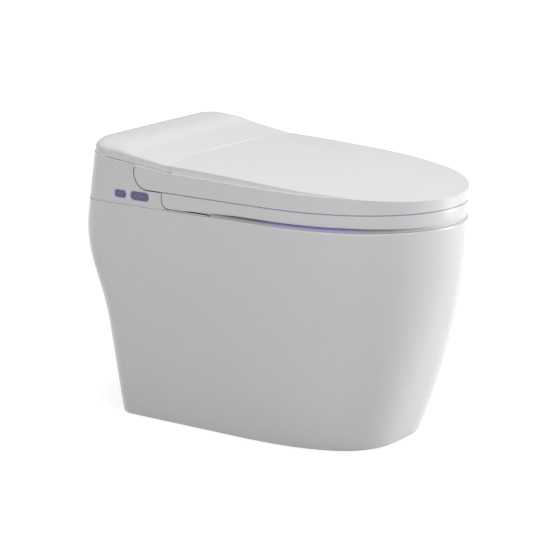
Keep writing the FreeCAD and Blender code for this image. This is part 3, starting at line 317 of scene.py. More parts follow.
def make_painted_lip():
    material, tree, output = new_material("lip_glow")
    place = add_node(tree, "ShaderNodeTexCoord")
    split = add_node(tree, "ShaderNodeSeparateXYZ", {}, {"Vector": place.outputs["Object"]})
    share = (Number(tree, split.outputs["Y"]) - lip_front) / lip_length
    along = add_node(tree, "ShaderNodeValToRGB", {"stops": lip_painted_shade_stops}, {0: share})
    leak = noise(tree, 120.0, 2.0, 0.5)
    # Painted light and shade: darkest under the seat's edge and painted pale towards the foot, as the
    # ceramic rim below catches light; every colour glows.
    low = (lip_painted_light_from - Number(tree, split.outputs["Z"])) / lip_painted_light_depth
    painted_rim_light = (low.maths("MAXIMUM", 0.0) * (0.9 + leak * 0.1)).maths("MINIMUM", 1.0)
    colour = blend_colours(tree, painted_rim_light, along.outputs[0], (0.36, 0.36, 0.37))
    set_surface(tree, output, {
        "Base Color": colour, "Roughness": 0.4 + leak * 0.1,
        "Emission Color": colour, "Emission Strength": 0.75,
    })
    return material


# %% [markdown]
# The record gives every solid a material slot. Each slot gets one finish from the recipes
# above, and every solid of the frame is dressed by its slot. A few more finishes wait for
# the pieces that are grown below.

# %% Materials by the record's slots
finishes = {
    "lip_glow": make_painted_lip(),
    "pan_glaze": make_glaze(),
    "unit_white": make_plastic("unit_white", (0.82, 0.82, 0.82), (0.85, 0.85, 0.85), 0.24, coat=0.2),
    "lid_white": make_plastic("lid_white", (0.84, 0.84, 0.84), (0.87, 0.87, 0.87), 0.26, coat=0.2),
    "seat_white": make_plastic("seat_white", (0.83, 0.83, 0.84), (0.86, 0.86, 0.87), 0.24, coat=0.2),
    "tray_white": make_plastic("tray_white", (0.74, 0.74, 0.75), (0.80, 0.80, 0.80), 0.4),
    # Painted shade: the guide under the seat is painted dark outside one span along its length.
    "light_violet": make_backlit("light_violet", (0.25, 0.23, 0.45), (0.10, 0.08, 0.5), 0.5,
                                 lit_from=-0.215, lit_to=-0.080),
    # Painted light: the seam strip's glow stands for violet light caught in the seam.
    "seam_violet": make_backlit("seam_violet", (0.15, 0.14, 0.34), (0.10, 0.08, 0.36), 0.4),
    "diode_lens": make_backlit("diode_lens", (0.55, 0.55, 0.75), (0.25, 0.2, 0.9), 0.8),
    "mark_pale": make_plastic("mark_pale", (0.30, 0.30, 0.42), (0.38, 0.38, 0.5), 0.35),
    "button_violet": make_backlit("button_violet", (0.11, 0.11, 0.18), (0.06, 0.06, 0.15), 0.4),
    "ring_violet": make_backlit("ring_violet", (0.60, 0.60, 0.76), (0.45, 0.44, 0.66), 0.25),
    "pad_grey": make_plastic("pad_grey", (0.46, 0.46, 0.47), (0.56, 0.56, 0.57), 0.6, 1400.0, 0.08),
    "seal_black": make_plastic("seal_black", (0.02, 0.02, 0.02), (0.05, 0.05, 0.05), 0.65, 1400.0, 0.1),
    "pin_steel": make_metal("pin_steel", (0.5, 0.5, 0.51), (0.65, 0.65, 0.66), 0.28),
    "damper_black": make_plastic("damper_black", (0.03, 0.03, 0.035), (0.06, 0.06, 0.065), 0.4),
    "foil_silver": make_metal("foil_silver", (0.62, 0.62, 0.63), (0.8, 0.8, 0.81), 0.3),
    "nozzle_steel": make_metal("nozzle_steel", (0.58, 0.58, 0.6), (0.74, 0.74, 0.76), 0.16,
                               (900.0, 40.0, 900.0)),
    "nozzle_white": make_plastic("nozzle_white", (0.8, 0.8, 0.81), (0.86, 0.86, 0.87), 0.25),
    "motor_steel": make_metal("motor_steel", (0.36, 0.37, 0.4), (0.5, 0.51, 0.54), 0.4,
                              (900.0, 900.0, 40.0)),
    "gear_cream": make_plastic("gear_cream", (0.72, 0.68, 0.58), (0.82, 0.79, 0.7), 0.35),
    "brass": make_metal("brass", (0.6, 0.42, 0.17), (0.78, 0.6, 0.3), 0.26, (900.0, 900.0, 60.0)),
    "tank_grey": make_plastic("tank_grey", (0.52, 0.55, 0.57), (0.62, 0.65, 0.67), 0.45, 300.0, 0.08),
    "pump_black": make_plastic("pump_black", (0.05, 0.05, 0.055), (0.1, 0.1, 0.11), 0.42, 500.0, 0.08),
    "hose_grey": make_plastic("hose_grey", (0.28, 0.29, 0.31), (0.36, 0.37, 0.39), 0.5),
    "board_green": make_plastic("board_green", (0.02, 0.15, 0.07), (0.05, 0.26, 0.14), 0.3, 160.0, 0.1),
    "heater_white": make_plastic("heater_white", (0.66, 0.65, 0.6), (0.74, 0.73, 0.69), 0.45),
    "carbon_black": make_plastic("carbon_black", (0.01, 0.01, 0.01), (0.05, 0.05, 0.05), 0.8, 260.0, 0.6),
}
for subpart in frame["record"]["subparts"]:
    solid = nodes[subpart["node"]]
    solid.data.materials.clear()
    solid.data.materials.append(finishes[subpart["material_slot"]])
print("materials:", len(finishes))

# %% [markdown]
# Some forms follow a rule, and some small parts repeat. Both are grown with Geometry Nodes:
# the tree is built once from its named sizes, its result is kept as a plain mesh, and the
# modifier goes. The same Number class writes the rule, so it reads like the formula it is.

# %% Grow a piece
touching = 1e-6


def grow(name, build, sizes, finish, base=None):
    """Run a node tree once over base and keep what it makes as a plain mesh."""
    tree = bpy.data.node_groups.new(name, "GeometryNodeTree")
    tree.interface.new_socket("Base", in_out="INPUT", socket_type="NodeSocketGeometry")
    for label in sizes:
        tree.interface.new_socket(label, in_out="INPUT", socket_type="NodeSocketFloat")
    tree.interface.new_socket("Piece", in_out="OUTPUT", socket_type="NodeSocketGeometry")
    start = add_node(tree, "NodeGroupInput")
    numbers = {label: Number(tree, start.outputs[label]) for label in sizes}
    shape = build(tree, start.outputs["Base"], numbers)
    real = add_node(tree, "GeometryNodeRealizeInstances", {}, {"Geometry": shape})
    paint = add_node(tree, "GeometryNodeSetMaterial", {}, {
        "Geometry": real.outputs[0], "Material": finishes[finish],
    })
    add_node(tree, "NodeGroupOutput", {}, {"Piece": paint.outputs[0]})
    piece = bpy.data.objects.new(name, base or bpy.data.meshes.new(name))
    bpy.context.collection.objects.link(piece)
    modifier = piece.modifiers.new("grow", "NODES")
    modifier.node_group = tree
    for socket in tree.interface.items_tree:
        if socket.in_out == "INPUT" and socket.name in sizes:
            modifier[socket.identifier] = sizes[socket.name]
    depsgraph = bpy.context.evaluated_depsgraph_get()
    mesh = bpy.data.meshes.new_from_object(piece.evaluated_get(depsgraph))
    piece.modifiers.clear()
    piece.data = mesh
    return piece


def smooth_all(mesh, angle=35.0):
    """Point the faces outwards and smooth all but the edges that turn by more than angle."""
    bmesh.ops.recalc_face_normals(mesh, faces=mesh.faces)
    for edge in mesh.edges:
        edge.smooth = len(edge.link_faces) == 2 and edge.calc_face_angle() < math.radians(angle)
    for face in mesh.faces:
        face.smooth = True


def close_up(piece, angle=35.0):
    """Merge the points that touch, then smooth the piece."""
    mesh = bmesh.new()
    mesh.from_mesh(piece.data)
    bmesh.ops.remove_doubles(mesh, verts=mesh.verts, dist=touching)
    smooth_all(mesh, angle)
    mesh.to_mesh(piece.data)
    mesh.free()
    print(piece.name, len(piece.data.polygons), "faces")


def part(piece, body, slot, *replaced):
    """Say what a piece rides on and which nodes it stands for. The slot, a finish's name, is not used."""
    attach(piece, body)
    if replaced:
        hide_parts(*replaced)


def extent(piece):
    """The low and the high corner of a piece's mesh."""
    return [[round(end(v.co[i] for v in piece.data.vertices), 4) for i in range(3)]
            for end in (min, max)]


# %% [markdown]
# The cover behind the lid is one soft pressing: a low wall that stands on the unit's ledge,
# a shoulder that rolls inwards, and a top that climbs from the split and eases down again at
# the rear. Drawn by hand it would need hundreds of points. As a rule it needs a few sizes:
# the top's profile along the length, the width of the shoulder, and how deep it drops. The
# tree lays a grid over the plan and lifts each point to its height. The first rows wrap round
# the lid's hinge axis, so that the lid's tail passes over them at an even gap.

# %% Cover
cover_across, cover_along, nose_rows = 95, 90, 7
cover_skin = 0.003
cover_profile = [
    (0.0, 0.0), (0.074, 0.08), (0.217, 0.25), (0.30, 0.35), (0.365, 0.43), (0.402, 0.48),
    (0.45, 0.58), (0.513, 0.72), (0.587, 0.86), (0.66, 0.94), (0.76, 0.985), (0.84, 1.0), (1.0, 0.84),
]


def clamped(number):
    return number.maths("MAXIMUM", 0.0).maths("MINIMUM", 1.0)


def form_cover(tree, base, size):
    grid = add_node(tree, "GeometryNodeMeshGrid", {}, {
        "Vertices X": cover_across, "Vertices Y": cover_along,
    })
    index = Number(tree, add_node(tree, "GeometryNodeInputIndex").outputs[0])
    column = ((index + 0.5) / cover_along).maths("FLOOR")
    row = index - column * cover_along
    share = clamped((column - 1.0) / (cover_across - 3.0))
    side = ((share - 0.5) * math.pi).maths("SINE")
    in_nose = clamped(row / nose_rows)
    behind = clamped((row - nose_rows) / (cover_along - 2.0 - nose_rows))
    behind = (behind * (math.pi / 2)).maths("SINE")

    # the nose: round the hinge axis, from the ledge up to the split
    ledge = size["Ledge"]
    split_z = size["Split height"] - size["Crown"] * side * side
    nose_z = ledge + (split_z - ledge) * in_nose - size["Axis height"]
    nose_y = size["Axis"] - (size["Nose radius"] ** 2.0 - nose_z * nose_z).maths("SQRT")
    top_z = split_z - size["Axis height"]
    start_y = size["Axis"] - (size["Nose radius"] ** 2.0 - top_z * top_z).maths("SQRT")
    y = nose_y + (size["Rear"] - start_y) * behind

    # the plan: straight sides, and round rear corners
    corner = size["Corner"]
    past = (y - (size["Rear"] - corner)).maths("MAXIMUM", 0.0)
    half = size["Half"] - corner + (corner * corner - past * past).maths("MAXIMUM", 0.0).maths("SQRT")
    x = side * half

    # the top: profile along the length, minus the shoulder that rolls off at the edge
    length = size["Rear"] - size["Split"]
    run = clamped((y - size["Split"]) / length)
    profile = add_node(tree, "ShaderNodeFloatCurve", {"points": cover_profile}, {"Value": run})
    rise = Number(tree, profile.outputs[0])
    over_side = (x.maths("ABSOLUTE") - (size["Half"] - corner)).maths("MAXIMUM", 0.0)
    from_edge = corner - (over_side * over_side + past * past).maths("SQRT")
    rearwards = past / (past + over_side + 1e-5)
    roll_width = size["Split shoulder"] + (size["Shoulder"] - size["Split shoulder"]) * run
    width = roll_width + (size["Rear shoulder"] - roll_width) * rearwards
    drop = size["Drop"] + size["Climb"] * rise * size["Level share"]
    drop = drop + (size["Rear drop"] - drop) * rearwards
    near = clamped(1 - from_edge / width)
    roll = 1 - (1 - near * near).maths("MAXIMUM", 0.0).maths("SQRT")
    roof = size["Split height"] + size["Climb"] * rise
    roof = roof - size["Crown"] * (1 - run) * (1 - run) * side * side - drop * roll

    # the wall: the outermost points stand on the ledge
    in_top = row.maths("GREATER_THAN", nose_rows + 0.5)
    z = (nose_z + size["Axis height"]) * (1 - in_top) + roof * in_top
    at_side = column.maths("LESS_THAN", 0.5) + column.maths("GREATER_THAN", cover_across - 1.5)
    at_wall = clamped(at_side + row.maths("GREATER_THAN", cover_along - 1.5))
    ledge_z = ledge + (y - size["Split"]).maths("MAXIMUM", 0.0) * size["Ledge slope"]
    z = z * (1 - at_wall) + ledge_z * at_wall

    place = add_node(tree, "ShaderNodeCombineXYZ", {}, {"X": x, "Y": y, "Z": z})
    moved = add_node(tree, "GeometryNodeSetPosition", {}, {
        "Geometry": grid.outputs["Mesh"], "Position": place.outputs[0],
    })
    return moved.outputs[0]


cover_sizes = {
    "Half": 0.1904, "Rear": 0.3190, "Corner": 0.050, "Split": 0.1310,
    "Split height": 0.4932, "Crown": 0.0080, "Climb": 0.0218,
    "Ledge": 0.4727, "Ledge slope": 0.094,
    "Axis": 0.1740, "Axis height": 0.4655, "Nose radius": 0.0497,
    "Split shoulder": 0.006, "Shoulder": 0.060, "Drop": 0.0020, "Level share": 0.75,
    "Rear shoulder": 0.014, "Rear drop": 0.0122,
}
cover = grow("rear_cover", form_cover, cover_sizes, "unit_white")
close_up(cover, 50.0)
thicken = cover.modifiers.new("skin", "SOLIDIFY")
thicken.thickness = cover_skin
thicken.offset = -1.0
part(cover, "fixed", "unit_white", "top_cover")
print("cover", extent(cover))

# %% [markdown]
# Around the ears of the lid and the seat there is a narrow gap, and a thin black cord lies in
# it as painted shade: it darkens the gap where its depth lies in shade. It follows the ear's
# edge, so each run is a path of points, and one node tree sweeps a small rectangle along every
# path at once. The same tree makes the thin dark mats, painted shade too, that lie on the ledge
# under the rear of the seat.

# %% Gap cords and ledge mats of painted shade
lid_axis = Vector((0.1740, 0.4655))
seat_ear_corner = Vector((0.1270, 0.4230))
lid_cord_radius, seat_cord_radius, cord_side = 0.0290, 0.0149, 0.1947
mat_side, mat_height = 0.1930, 0.40757


def arc_points(centre, radius, first, last, steps=14):
    """Points (y, z) on an arc, with its angles in degrees from +Y towards +Z."""
    turns = [math.radians(first + (last - first) * step / steps) for step in range(steps + 1)]
    return [(centre.x + radius * math.cos(t), centre.y + radius * math.sin(t)) for t in turns]


def side_paths(name, runs, depth):
    """A mesh of edges: each run of (y, z) points, on both sides at one distance from the middle."""
    points, edges = [], []
    for side in (-1, 1):
        for run in runs:
            start = len(points)
            points += [(side * depth, y, z) for y, z in run]
            edges += [(start + i, start + i + 1) for i in range(len(run) - 1)]
    mesh = bpy.data.meshes.new(name)
    mesh.from_pydata(points, edges, [])
    return mesh


def sweep_flat(tree, base, size):
    curve = add_node(tree, "GeometryNodeMeshToCurve", {}, {"Mesh": base})
    turned = add_node(tree, "GeometryNodeSetCurveNormal", {"mode": "FREE"}, {
        "Curve": curve.outputs[0], "Normal": (1.0, 0.0, 0.0),
    })
    section = add_node(tree, "GeometryNodeCurvePrimitiveQuadrilateral", {}, {
        "Width": size["Thickness"], "Height": size["Depth"],
    })
    swept = add_node(tree, "GeometryNodeCurveToMesh", {}, {
        "Curve": turned.outputs[0], "Profile Curve": section.outputs[0], "Fill Caps": True,
    })
    return swept.outputs[0]


shade_cord_runs = [
    arc_points(lid_axis, lid_cord_radius, 20, -90) + [(0.143, 0.43650)],
    [(0.1416, 0.4358)] + arc_points(seat_ear_corner, seat_cord_radius, 0, -90),
]
# Painted shade: black cords that darken the gaps round the ears.
shade_cords = grow("gap_shade_cords", sweep_flat, {"Thickness": 0.0016, "Depth": 0.0022}, "seal_black",
             side_paths("gap_paths", shade_cord_runs, cord_side))
close_up(shade_cords)
part(shade_cords, "fixed", "seal_black")
# Painted shade: thin black sheets on the ledge, under the overhanging rear of the seat.
shade_mat_runs = [[(0.1260, mat_height), (0.0450, mat_height)]]
shade_mats = grow("ledge_shade_mats", sweep_flat, {"Thickness": 0.0003, "Depth": 0.0034}, "seal_black",
            side_paths("mat_paths", shade_mat_runs, mat_side))
close_up(shade_mats)
part(shade_mats, "fixed", "seal_black")
print("shade_cords", extent(shade_cords))

# %% [markdown]
# The unit's side wall is cut out for the seat's ear, and the cut's corner follows the ear's
# own round corner. The small gusset that makes it so is a flat plate with one hollow edge:
# an outline of arc points and one corner point, given a thickness.

# %% Ear corner gussets
gusset_radius, gusset_corner = 0.0150, (0.1420, 0.4075)
gusset_depths = (0.1906, 0.1953)


def mesh_piece(name, points, faces, finish):
    """A piece straight from its points and faces."""
    mesh = bpy.data.meshes.new(name)
    mesh.from_pydata(points, [], faces)
    mesh.materials.append(finishes[finish])
    piece = bpy.data.objects.new(name, mesh)
    bpy.context.collection.objects.link(piece)
    close_up(piece)
    return piece


def gussets():
    outline = arc_points(seat_ear_corner, gusset_radius, 0, -90) + [gusset_corner]
    count = len(outline)
    points, faces = [], []
    for side in (-1, 1):
        start = len(points)
        for depth in gusset_depths:
            points += [(side * depth, y, z) for y, z in outline]
        inner = list(range(start, start + count))
        outer = [i + count for i in inner]
        faces += [inner, outer[::-1]]
        faces += [(inner[i], outer[i], outer[(i + 1) % count], inner[(i + 1) % count])
                  for i in range(count)]
    return mesh_piece("ear_gussets", points, faces, "unit_white")


part(gussets(), "fixed", "unit_white")

# %% [markdown]
# Seen in plan, the seat is a ring between two outlines: a superellipse with straight sides
# outside, and an oval hole. The ring needs them as matched pairs of points, so each point of
# the hole is paired with the place where the ray from the hole's middle leaves the outside.

# %% Seat outlines
seat_half, seat_front, seat_back, shoulder_y = 0.1960, -0.3440, 0.0930, -0.0600
hole_half, hole_front, hole_rear, hole_middle_share = 0.1060, -0.2780, 0.0190, 0.44
hole_middle = hole_rear - (hole_rear - hole_front) * hole_middle_share
stations, edge_steps, plan_fullness = 180, 240, 2.4


def seat_edge(inset=0.0):
    """The seat's outline in plan, from the rear corner on +X by the front to the one on -X."""
    half = seat_half - inset
    reach = shoulder_y - seat_front - inset
    points = [Vector((half, seat_back - inset))]
    for step in range(edge_steps + 1):
        turn = math.pi * step / edge_steps
        forward = reach * math.sin(turn) ** (2 / plan_fullness)
        points.append(Vector((half * math.cos(turn), shoulder_y - forward)))
    points.append(Vector((-half, seat_back - inset)))
    return points


def hole_point(turn):
    reach = hole_rear - hole_middle if math.sin(turn) > 0 else hole_middle - hole_front
    return Vector((hole_half * math.cos(turn), hole_middle + reach * math.sin(turn)))


def ray_hit(centre, through, outline):
    """Where the ray from centre through a point leaves a closed outline."""
    way = through - centre
    for first, second in zip(outline, outline[1:] + outline[:1]):
        run = second - first
        cross = way.x * run.y - way.y * run.x
        if abs(cross) < 1e-12:
            continue
        gap = first - centre
        along = (gap.x * run.y - gap.y * run.x) / cross
        share = (gap.x * way.y - gap.y * way.x) / cross
        if along > 0 and -1e-9 <= share <= 1 + 1e-9:
            return centre + way * along
    raise ValueError("the ray meets no edge")


def seat_rails():
    """A mesh of points: the outer outline, then the hole's, matched one to one."""
    centre = Vector((0.0, hole_middle))
    outline = seat_edge()
    turns = [2 * math.pi * (step + 0.5) / stations for step in range(stations)]
    for corner in (outline[0], outline[-1]):
        way = corner - centre
        steep = way.y / (hole_rear - hole_middle)
        turn = math.atan2(steep, way.x / hole_half) % (2 * math.pi)
        nearest = min(range(stations), key=lambda i: abs(turns[i] - turn))
        turns[nearest] = turn
    inner = [hole_point(turn) for turn in turns]
    outer = [ray_hit(centre, point, outline) for point in inner]
    mesh = bpy.data.meshes.new("seat_rails")
    mesh.from_pydata([(p.x, p.y, 0.0) for p in outer + inner], [], [])
    return mesh


# %% [markdown]
# The ring's section is the same rule all round: an upright outer wall with a small round
# edge, a top that dips by a millimetre or two, a full bullnose at the hole and a hollow
# underside. So the ring is a grid too: one direction goes round the two outlines and the
# other round the section. Ahead of the back edge the wall stops a little higher, and the
# light shows below it. At the very front it comes down again.

# %% Seat ring
wall_steps, top_steps, under_steps = 12, 8, 8
wall_fullness, bullnose_fullness, hollow_ease = 7.0, 2.6, 6.0


def form_seat(tree, base, size):
    loop = 2 * wall_steps + top_steps + under_steps
    grid = add_node(tree, "GeometryNodeMeshGrid", {}, {
        "Vertices X": stations + 1, "Vertices Y": loop + 1,
    })
    index = Number(tree, add_node(tree, "GeometryNodeInputIndex").outputs[0])
    station = ((index + 0.5) / (loop + 1)).maths("FLOOR")
    step = index - station * (loop + 1)
    station = station.maths("MODULO", stations)
    place = add_node(tree, "GeometryNodeInputPosition")

    def rail(shift):
        sample = add_node(tree, "GeometryNodeSampleIndex", {"data_type": "FLOAT_VECTOR"}, {
            "Geometry": base, "Value": place.outputs[0], "Index": station + shift,
        })
        split = add_node(tree, "ShaderNodeSeparateXYZ", {}, {"Vector": sample.outputs[0]})
        return Number(tree, split.outputs["X"]), Number(tree, split.outputs["Y"])

    outer_x, outer_y = rail(0)
    hole_x, hole_y = rail(stations)
    way_x, way_y = hole_x - outer_x, hole_y - outer_y
    width = (way_x * way_x + way_y * way_y).maths("SQRT")

    def part_of(first, count):
        return clamped((step - first) / count)

    def bowed(share, fullness):
        """How far out and how high a wall's rounded section is, as share goes from foot to top."""
        turn = (share - 0.5) * math.pi
        out = turn.maths("COSINE").maths("MAXIMUM", 0.0) ** (2 / fullness)
        rise = turn.maths("SINE")
        high = rise.maths("SIGN") * rise.maths("ABSOLUTE") ** (2 / fullness)
        return out, (high + 1.0) * 0.5

    outer_out, outer_high = bowed(part_of(0, wall_steps), wall_fullness)
    top = part_of(wall_steps, top_steps)
    at_hole = 1 - part_of(wall_steps + top_steps, wall_steps)
    hole_out, hole_high = bowed(at_hole, bullnose_fullness)
    under = part_of(2 * wall_steps + top_steps, under_steps)
    flat = width - size["Edge"] - size["Bullnose"]
    inwards = size["Edge"] * (1 - outer_out) + flat * (top - under) + size["Bullnose"] * hole_out
    x = outer_x + way_x * inwards / width
    y = outer_y + way_y * inwards / width
    lifted = clamped((size["Back"] - y) / size["Lift length"])
    nosed = clamped((size["Front lift from"] - y) / (size["Front lift from"] - seat_front))
    foot = size["Bottom"] + size["Lift"] * lifted - size["Front loss"] * nosed
    z = foot + (size["Top"] - foot) * (outer_high + hole_high - 1.0)
    z = z - size["Dish"] * 4.0 * top * (1 - top)
    z = z + size["Hollow"] * clamped(under * hollow_ease) * clamped((1 - under) * hollow_ease)
    point = add_node(tree, "ShaderNodeCombineXYZ", {}, {"X": x, "Y": y, "Z": z})
    moved = add_node(tree, "GeometryNodeSetPosition", {}, {
        "Geometry": grid.outputs["Mesh"], "Position": point.outputs[0],
    })
    return moved.outputs[0]


seat_sizes = {
    "Edge": 0.004, "Bullnose": 0.013, "Top": 0.4360, "Bottom": 0.4090, "Lift": 0.0052,
    "Back": 0.0930, "Lift length": 0.110, "Front lift from": -0.2300, "Front loss": 0.0030,
    "Dish": 0.0018, "Hollow": 0.0040,
}
seat = grow("seat_ring", form_seat, seat_sizes, "seat_white", seat_rails())
close_up(seat)

# %% [markdown]
# The seat's ears and hinge arms are flat plates that the frame already has. They come from a
# copy of the solid: its loose triangles are merged, everything ahead of the ring's back edge
# is cut away, and the cut is closed before the two meshes are joined.

# %% Ears and arms of the seat
ear_cut_y = 0.0925
ears = bmesh.new()
ears.from_mesh(nodes["seat_shell"].data)
bmesh.ops.remove_doubles(ears, verts=ears.verts, dist=touching)
cut = bmesh.ops.bisect_plane(
    ears, geom=ears.verts[:] + ears.edges[:] + ears.faces[:],
    plane_co=(0.0, ear_cut_y, 0.0), plane_no=(0.0, -1.0, 0.0), clear_outer=True,
)
rim = [edge for edge in cut["geom_cut"] if isinstance(edge, bmesh.types.BMEdge)]
bmesh.ops.triangle_fill(ears, edges=rim, use_beauty=True)
smooth_all(ears)
ears.from_mesh(seat.data)
ears.to_mesh(seat.data)
ears.free()
seat.data.materials.clear()
seat.data.materials.append(finishes["seat_white"])
for face in seat.data.polygons:
    face.material_index = 0
part(seat, "seat", "seat_white", "seat_shell")
print("seat", extent(seat))

# %% [markdown]
# Under the seat a light guide shows through the gap, its edge painted with shade and glow,
# and a second, thinner strip glows in the seam between seat and lid as painted light, the
# violet glow that the seam catches. A path of points at equal inset from the seat's outline
# carries each: an upright rectangle is swept along it.

# %% Strips of light, with painted shade and painted glow
def seat_path(name, inset, height, last_y):
    """The seat's outline drawn in by inset, as a run of edges that stops at last_y."""
    outline = seat_edge(inset)[1:-1]
    points = [(outline[0].x, last_y, height)] + [(p.x, p.y, height) for p in outline]
    points.append((outline[-1].x, last_y, height))
    mesh = bpy.data.meshes.new(name)
    mesh.from_pydata(points, [(i, i + 1) for i in range(len(points) - 1)], [])
    return mesh


def sweep_upright(tree, base, size):
    curve = add_node(tree, "GeometryNodeMeshToCurve", {}, {"Mesh": base})
    turned = add_node(tree, "GeometryNodeSetCurveNormal", {"mode": "Z_UP"}, {"Curve": curve.outputs[0]})
    section = add_node(tree, "GeometryNodeCurvePrimitiveQuadrilateral", {}, {
        "Width": size["Depth"], "Height": size["Height"],
    })
    swept = add_node(tree, "GeometryNodeCurveToMesh", {}, {
        "Curve": turned.outputs[0], "Profile Curve": section.outputs[0], "Fill Caps": True,
    })
    return swept.outputs[0]


painted_lip = grow("painted_light_lip", sweep_upright, {"Depth": 0.0012, "Height": 0.0080}, "lip_glow",
           seat_path("lip_path", inset=0.0028, height=0.4102, last_y=0.0380))
close_up(painted_lip)
part(painted_lip, "seat", "light_violet")
# Painted light: a glowing strip in the seam between seat and lid, for the violet glow seen there.
painted_seam_glow = grow("painted_seam_light", sweep_upright, {"Depth": 0.0020, "Height": 0.0012}, "seam_violet",
            seat_path("seam_path", inset=0.0036, height=0.43655, last_y=0.0800))
close_up(painted_seam_glow)
part(painted_seam_glow, "seat", "light_violet")

# %% [markdown]
# The diodes that feed the light guide sit in a row along it. Each is a small lens, and the
# lenses are set along a path at a fixed pitch. The lens is a ball, squashed by a rule that
# also serves for pads and dots.

# %% Diodes
pillow_spread, pillow_flatness = -0.45, 0.7


def pillow(tree, size, segments=20, rings=10):
    """A squashed ball with nearly flat poles, as wide as Radius and as high as Half height."""
    ball = add_node(tree, "GeometryNodeMeshUVSphere", {}, {
        "Segments": segments, "Rings": rings, "Radius": 1.0,
    })
    place = add_node(tree, "GeometryNodeInputPosition")
    split = add_node(tree, "ShaderNodeSeparateXYZ", {}, {"Vector": place.outputs[0]})
    x, y, z = [Number(tree, split.outputs[name]) for name in ("X", "Y", "Z")]
    out = (x * x + y * y).maths("SQRT")
    fuller = (out + 1e-4) ** pillow_spread
    high = z.maths("SIGN") * z.maths("ABSOLUTE") ** pillow_flatness
    point = add_node(tree, "ShaderNodeCombineXYZ", {}, {
        "X": x * fuller * size["Radius"], "Y": y * fuller * size["Radius"],
        "Z": high * size["Half height"],
    })
    moved = add_node(tree, "GeometryNodeSetPosition", {}, {
        "Geometry": ball.outputs["Mesh"], "Position": point.outputs[0],
    })
    return moved.outputs[0]


def set_along(tree, base, size):
    curve = add_node(tree, "GeometryNodeMeshToCurve", {}, {"Mesh": base})
    marks = add_node(tree, "GeometryNodeResampleCurve", {"mode": "LENGTH"}, {
        "Curve": curve.outputs[0], "Length": size["Pitch"],
    })
    copies = add_node(tree, "GeometryNodeInstanceOnPoints", {}, {
        "Points": marks.outputs[0], "Instance": pillow(tree, size, segments=12, rings=6),
    })
    return copies.outputs[0]


diode_sizes = {"Pitch": 0.018, "Radius": 0.0015, "Half height": 0.0006}
diodes = grow("seat_diodes", set_along, diode_sizes, "diode_lens",
              seat_path("diode_path", inset=0.0085, height=0.40735, last_y=0.0380))
close_up(diodes)
part(diodes, "seat", "light_violet")

# %% [markdown]
# Rubber pads keep seat and lid off what is under them. Each is a flat button of rubber with
# a rounded face. They are all alike, so one form is set on a point for each pad.

# %% Rubber pads
def spots(name, places):
    mesh = bpy.data.meshes.new(name)
    mesh.from_pydata(places, [], [])
    return mesh


def set_on_spots(tree, base, size):
    copies = add_node(tree, "GeometryNodeInstanceOnPoints", {}, {
        "Points": base, "Instance": pillow(tree, size),
    })
    return copies.outputs[0]


pad_sizes = {"Radius": 0.0070, "Half height": 0.0036}
pad_smooth_angle = 60.0


def pad_row(name, node, body, across, rows, height):
    places = [(side * across, y, height) for side in (-1, 1) for y in rows]
    pads = grow(name, set_on_spots, pad_sizes, "pad_grey", spots(name + "_spots", places))
    close_up(pads, pad_smooth_angle)
    part(pads, body, "pad_grey", node)


pad_row("seat_bumpers", "seat_pads", "seat",
        across=0.14896, rows=(-0.0963, 0.0310), height=0.4094)
pad_row("lid_bumpers", "lid_pads", "lid",
        across=0.12152, rows=(-0.2064, -0.0688, 0.0480), height=0.4399)

# %% [markdown]
# The two push buttons are capsule-shaped caps with a soft edge. A cap is built in rings: its
# outline is a superellipse in the wall's plane, and each ring is the same outline, smaller
# and further out. Small raised dots tell the fingers which button is which.

# %% Push buttons
cap_back, cap_face, cap_steps = -0.1886, -0.1952, 56
cap_squareness = (0.42, 0.62)
cap_rings = [
    (1.0, 0.0), (1.0, 0.0058), (0.985, 0.0063), (0.94, 0.0066), (0.80, 0.0067), (0.45, 0.0066),
]


def rounded(value, power):
    return math.copysign(abs(value) ** power, value)


def button_cap(name, node, body, middle, length, height):
    points = []
    for size, out in cap_rings:
        inset = (1 - size) * height / 2
        for step in range(cap_steps):
            turn = 2 * math.pi * step / cap_steps
            y = rounded(math.cos(turn), cap_squareness[0]) * (length / 2 - inset)
            z = rounded(math.sin(turn), cap_squareness[1]) * (height / 2 - inset)
            points.append((cap_back - out, middle.x + y, middle.y + z))
    last = (len(cap_rings) - 1) * cap_steps
    faces = [list(range(cap_steps))]
    for start in range(0, last, cap_steps):
        for step in range(cap_steps):
            after = (step + 1) % cap_steps
            faces.append((start + step, start + after,
                          start + cap_steps + after, start + cap_steps + step))
    faces.append(list(range(last, last + cap_steps))[::-1])
    cap = mesh_piece(name, points, faces, "button_violet")
    part(cap, body, "button_violet", node)


dot_sizes = {"Radius": 0.0011, "Half height": 0.0011}


def button_dots(name, body, middle, across):
    places = [(cap_face, middle.x + step, middle.y) for step in across]
    dots = grow(name, set_on_spots, dot_sizes, "mark_pale", spots(name + "_spots", places))
    close_up(dots, pad_smooth_angle)
    part(dots, body, "button_violet")


wash_middle = Vector((0.1910, 0.4235))
flush_middle = Vector((0.2344, 0.4235))
button_cap("wash_cap", "wash_button", "wash_button_cap", wash_middle,
           length=0.0404, height=0.0154)
button_cap("flush_cap", "flush_button", "flush_button_cap", flush_middle,
           length=0.0254, height=0.0134)
button_dots("wash_dots", "wash_button_cap", wash_middle, (-0.0090, -0.0030, 0.0030, 0.0090))
button_dots("flush_dots", "flush_button_cap", flush_middle, (-0.0035, 0.0035))

# %% [markdown]
# The photograph has a pure white ground and very soft light: a large source overhead makes
# the lid and the cover light, a tall one to the right of the picture draws the bright band
# down the pan, and a weak one beside the camera lifts the shaded side. Only the camera's own
# rays and clear rays see the world in full white. Glossy rays see it greyer and all others
# dim, so the object itself is lit at a plain level.

# %% Floor and light
floor_glow, floor_far_glow = 0.62, 0.4
world_level, world_glossy_extra = 0.265, 0.24


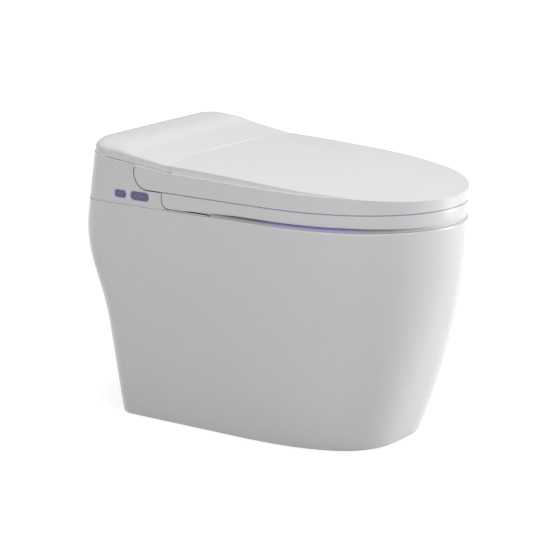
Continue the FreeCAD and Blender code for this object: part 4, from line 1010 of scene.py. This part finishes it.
def make_floor():
    bpy.ops.mesh.primitive_plane_add(size=14.0)
    floor = bpy.context.object
    floor.name = "floor"
    material, tree, output = new_material("floor")
    path = add_node(tree, "ShaderNodeLightPath")
    seen = Number(tree, path.outputs["Is Camera Ray"])
    shine = Number(tree, path.outputs["Is Glossy Ray"])
    grain = noise(tree, 3.0)
    place = add_node(tree, "ShaderNodeTexCoord")
    reach = add_node(tree, "ShaderNodeVectorMath", {"operation": "LENGTH"},
                     {0: place.outputs["Object"]})
    far = (Number(tree, reach.outputs["Value"]) * 0.5).maths("MINIMUM", 1.0)
    body = add_node(tree, "ShaderNodeBsdfDiffuse", {}, {
        "Color": blend_colours(tree, grain, (0.56, 0.56, 0.56), (0.59, 0.59, 0.59)),
    })
    glow = add_node(tree, "ShaderNodeEmission", {}, {
        "Strength": seen.maths("MAXIMUM", shine) * (floor_glow + far * floor_far_glow),
    })
    both = add_node(tree, "ShaderNodeAddShader", {}, {0: body.outputs[0], 1: glow.outputs[0]})
    tree.links.new(both.outputs[0], output.inputs["Surface"])
    floor.data.materials.append(material)


def make_world():
    world = bpy.data.worlds.new("studio")
    bpy.context.scene.world = world
    world.use_nodes = True
    tree = world.node_tree
    tree.nodes.clear()
    output = add_node(tree, "ShaderNodeOutputWorld")
    path = add_node(tree, "ShaderNodeLightPath")
    seen = Number(tree, path.outputs["Is Camera Ray"])
    clear = Number(tree, path.outputs["Is Transmission Ray"])
    shine = Number(tree, path.outputs["Is Glossy Ray"])
    white = seen.maths("MAXIMUM", clear)
    strength = white + (1 - white) * (world_level + shine * world_glossy_extra)
    background = add_node(tree, "ShaderNodeBackground", {}, {
        "Color": (1.0, 1.0, 1.0, 1.0), "Strength": strength,
    })
    tree.links.new(background.outputs[0], output.inputs["Surface"])


def area_light(name, place, aim, size, power):
    data = bpy.data.lights.new(name, "AREA")
    data.shape = "RECTANGLE"
    data.size, data.size_y = size
    data.energy = power
    lamp = bpy.data.objects.new(name, data)
    bpy.context.collection.objects.link(lamp)
    lamp.location = place
    lamp.rotation_euler = (Vector(aim) - Vector(place)).to_track_quat("-Z", "Y").to_euler()


make_floor()
make_world()
area_light("overhead", (-0.4, -0.2, 3.0), aim=(0.0, 0.0, 0.3), size=(3.0, 3.0), power=57.0)
area_light("left_fill", (-2.9, -1.6, 0.9), aim=(0.0, 0.0, 0.35), size=(1.6, 1.2), power=11.0)
area_light("front_right", (1.75, -2.05, 0.8), aim=(0.0, -0.1, 0.25), size=(0.9, 1.8), power=39.0)
print("lamps:", len(bpy.data.lights))
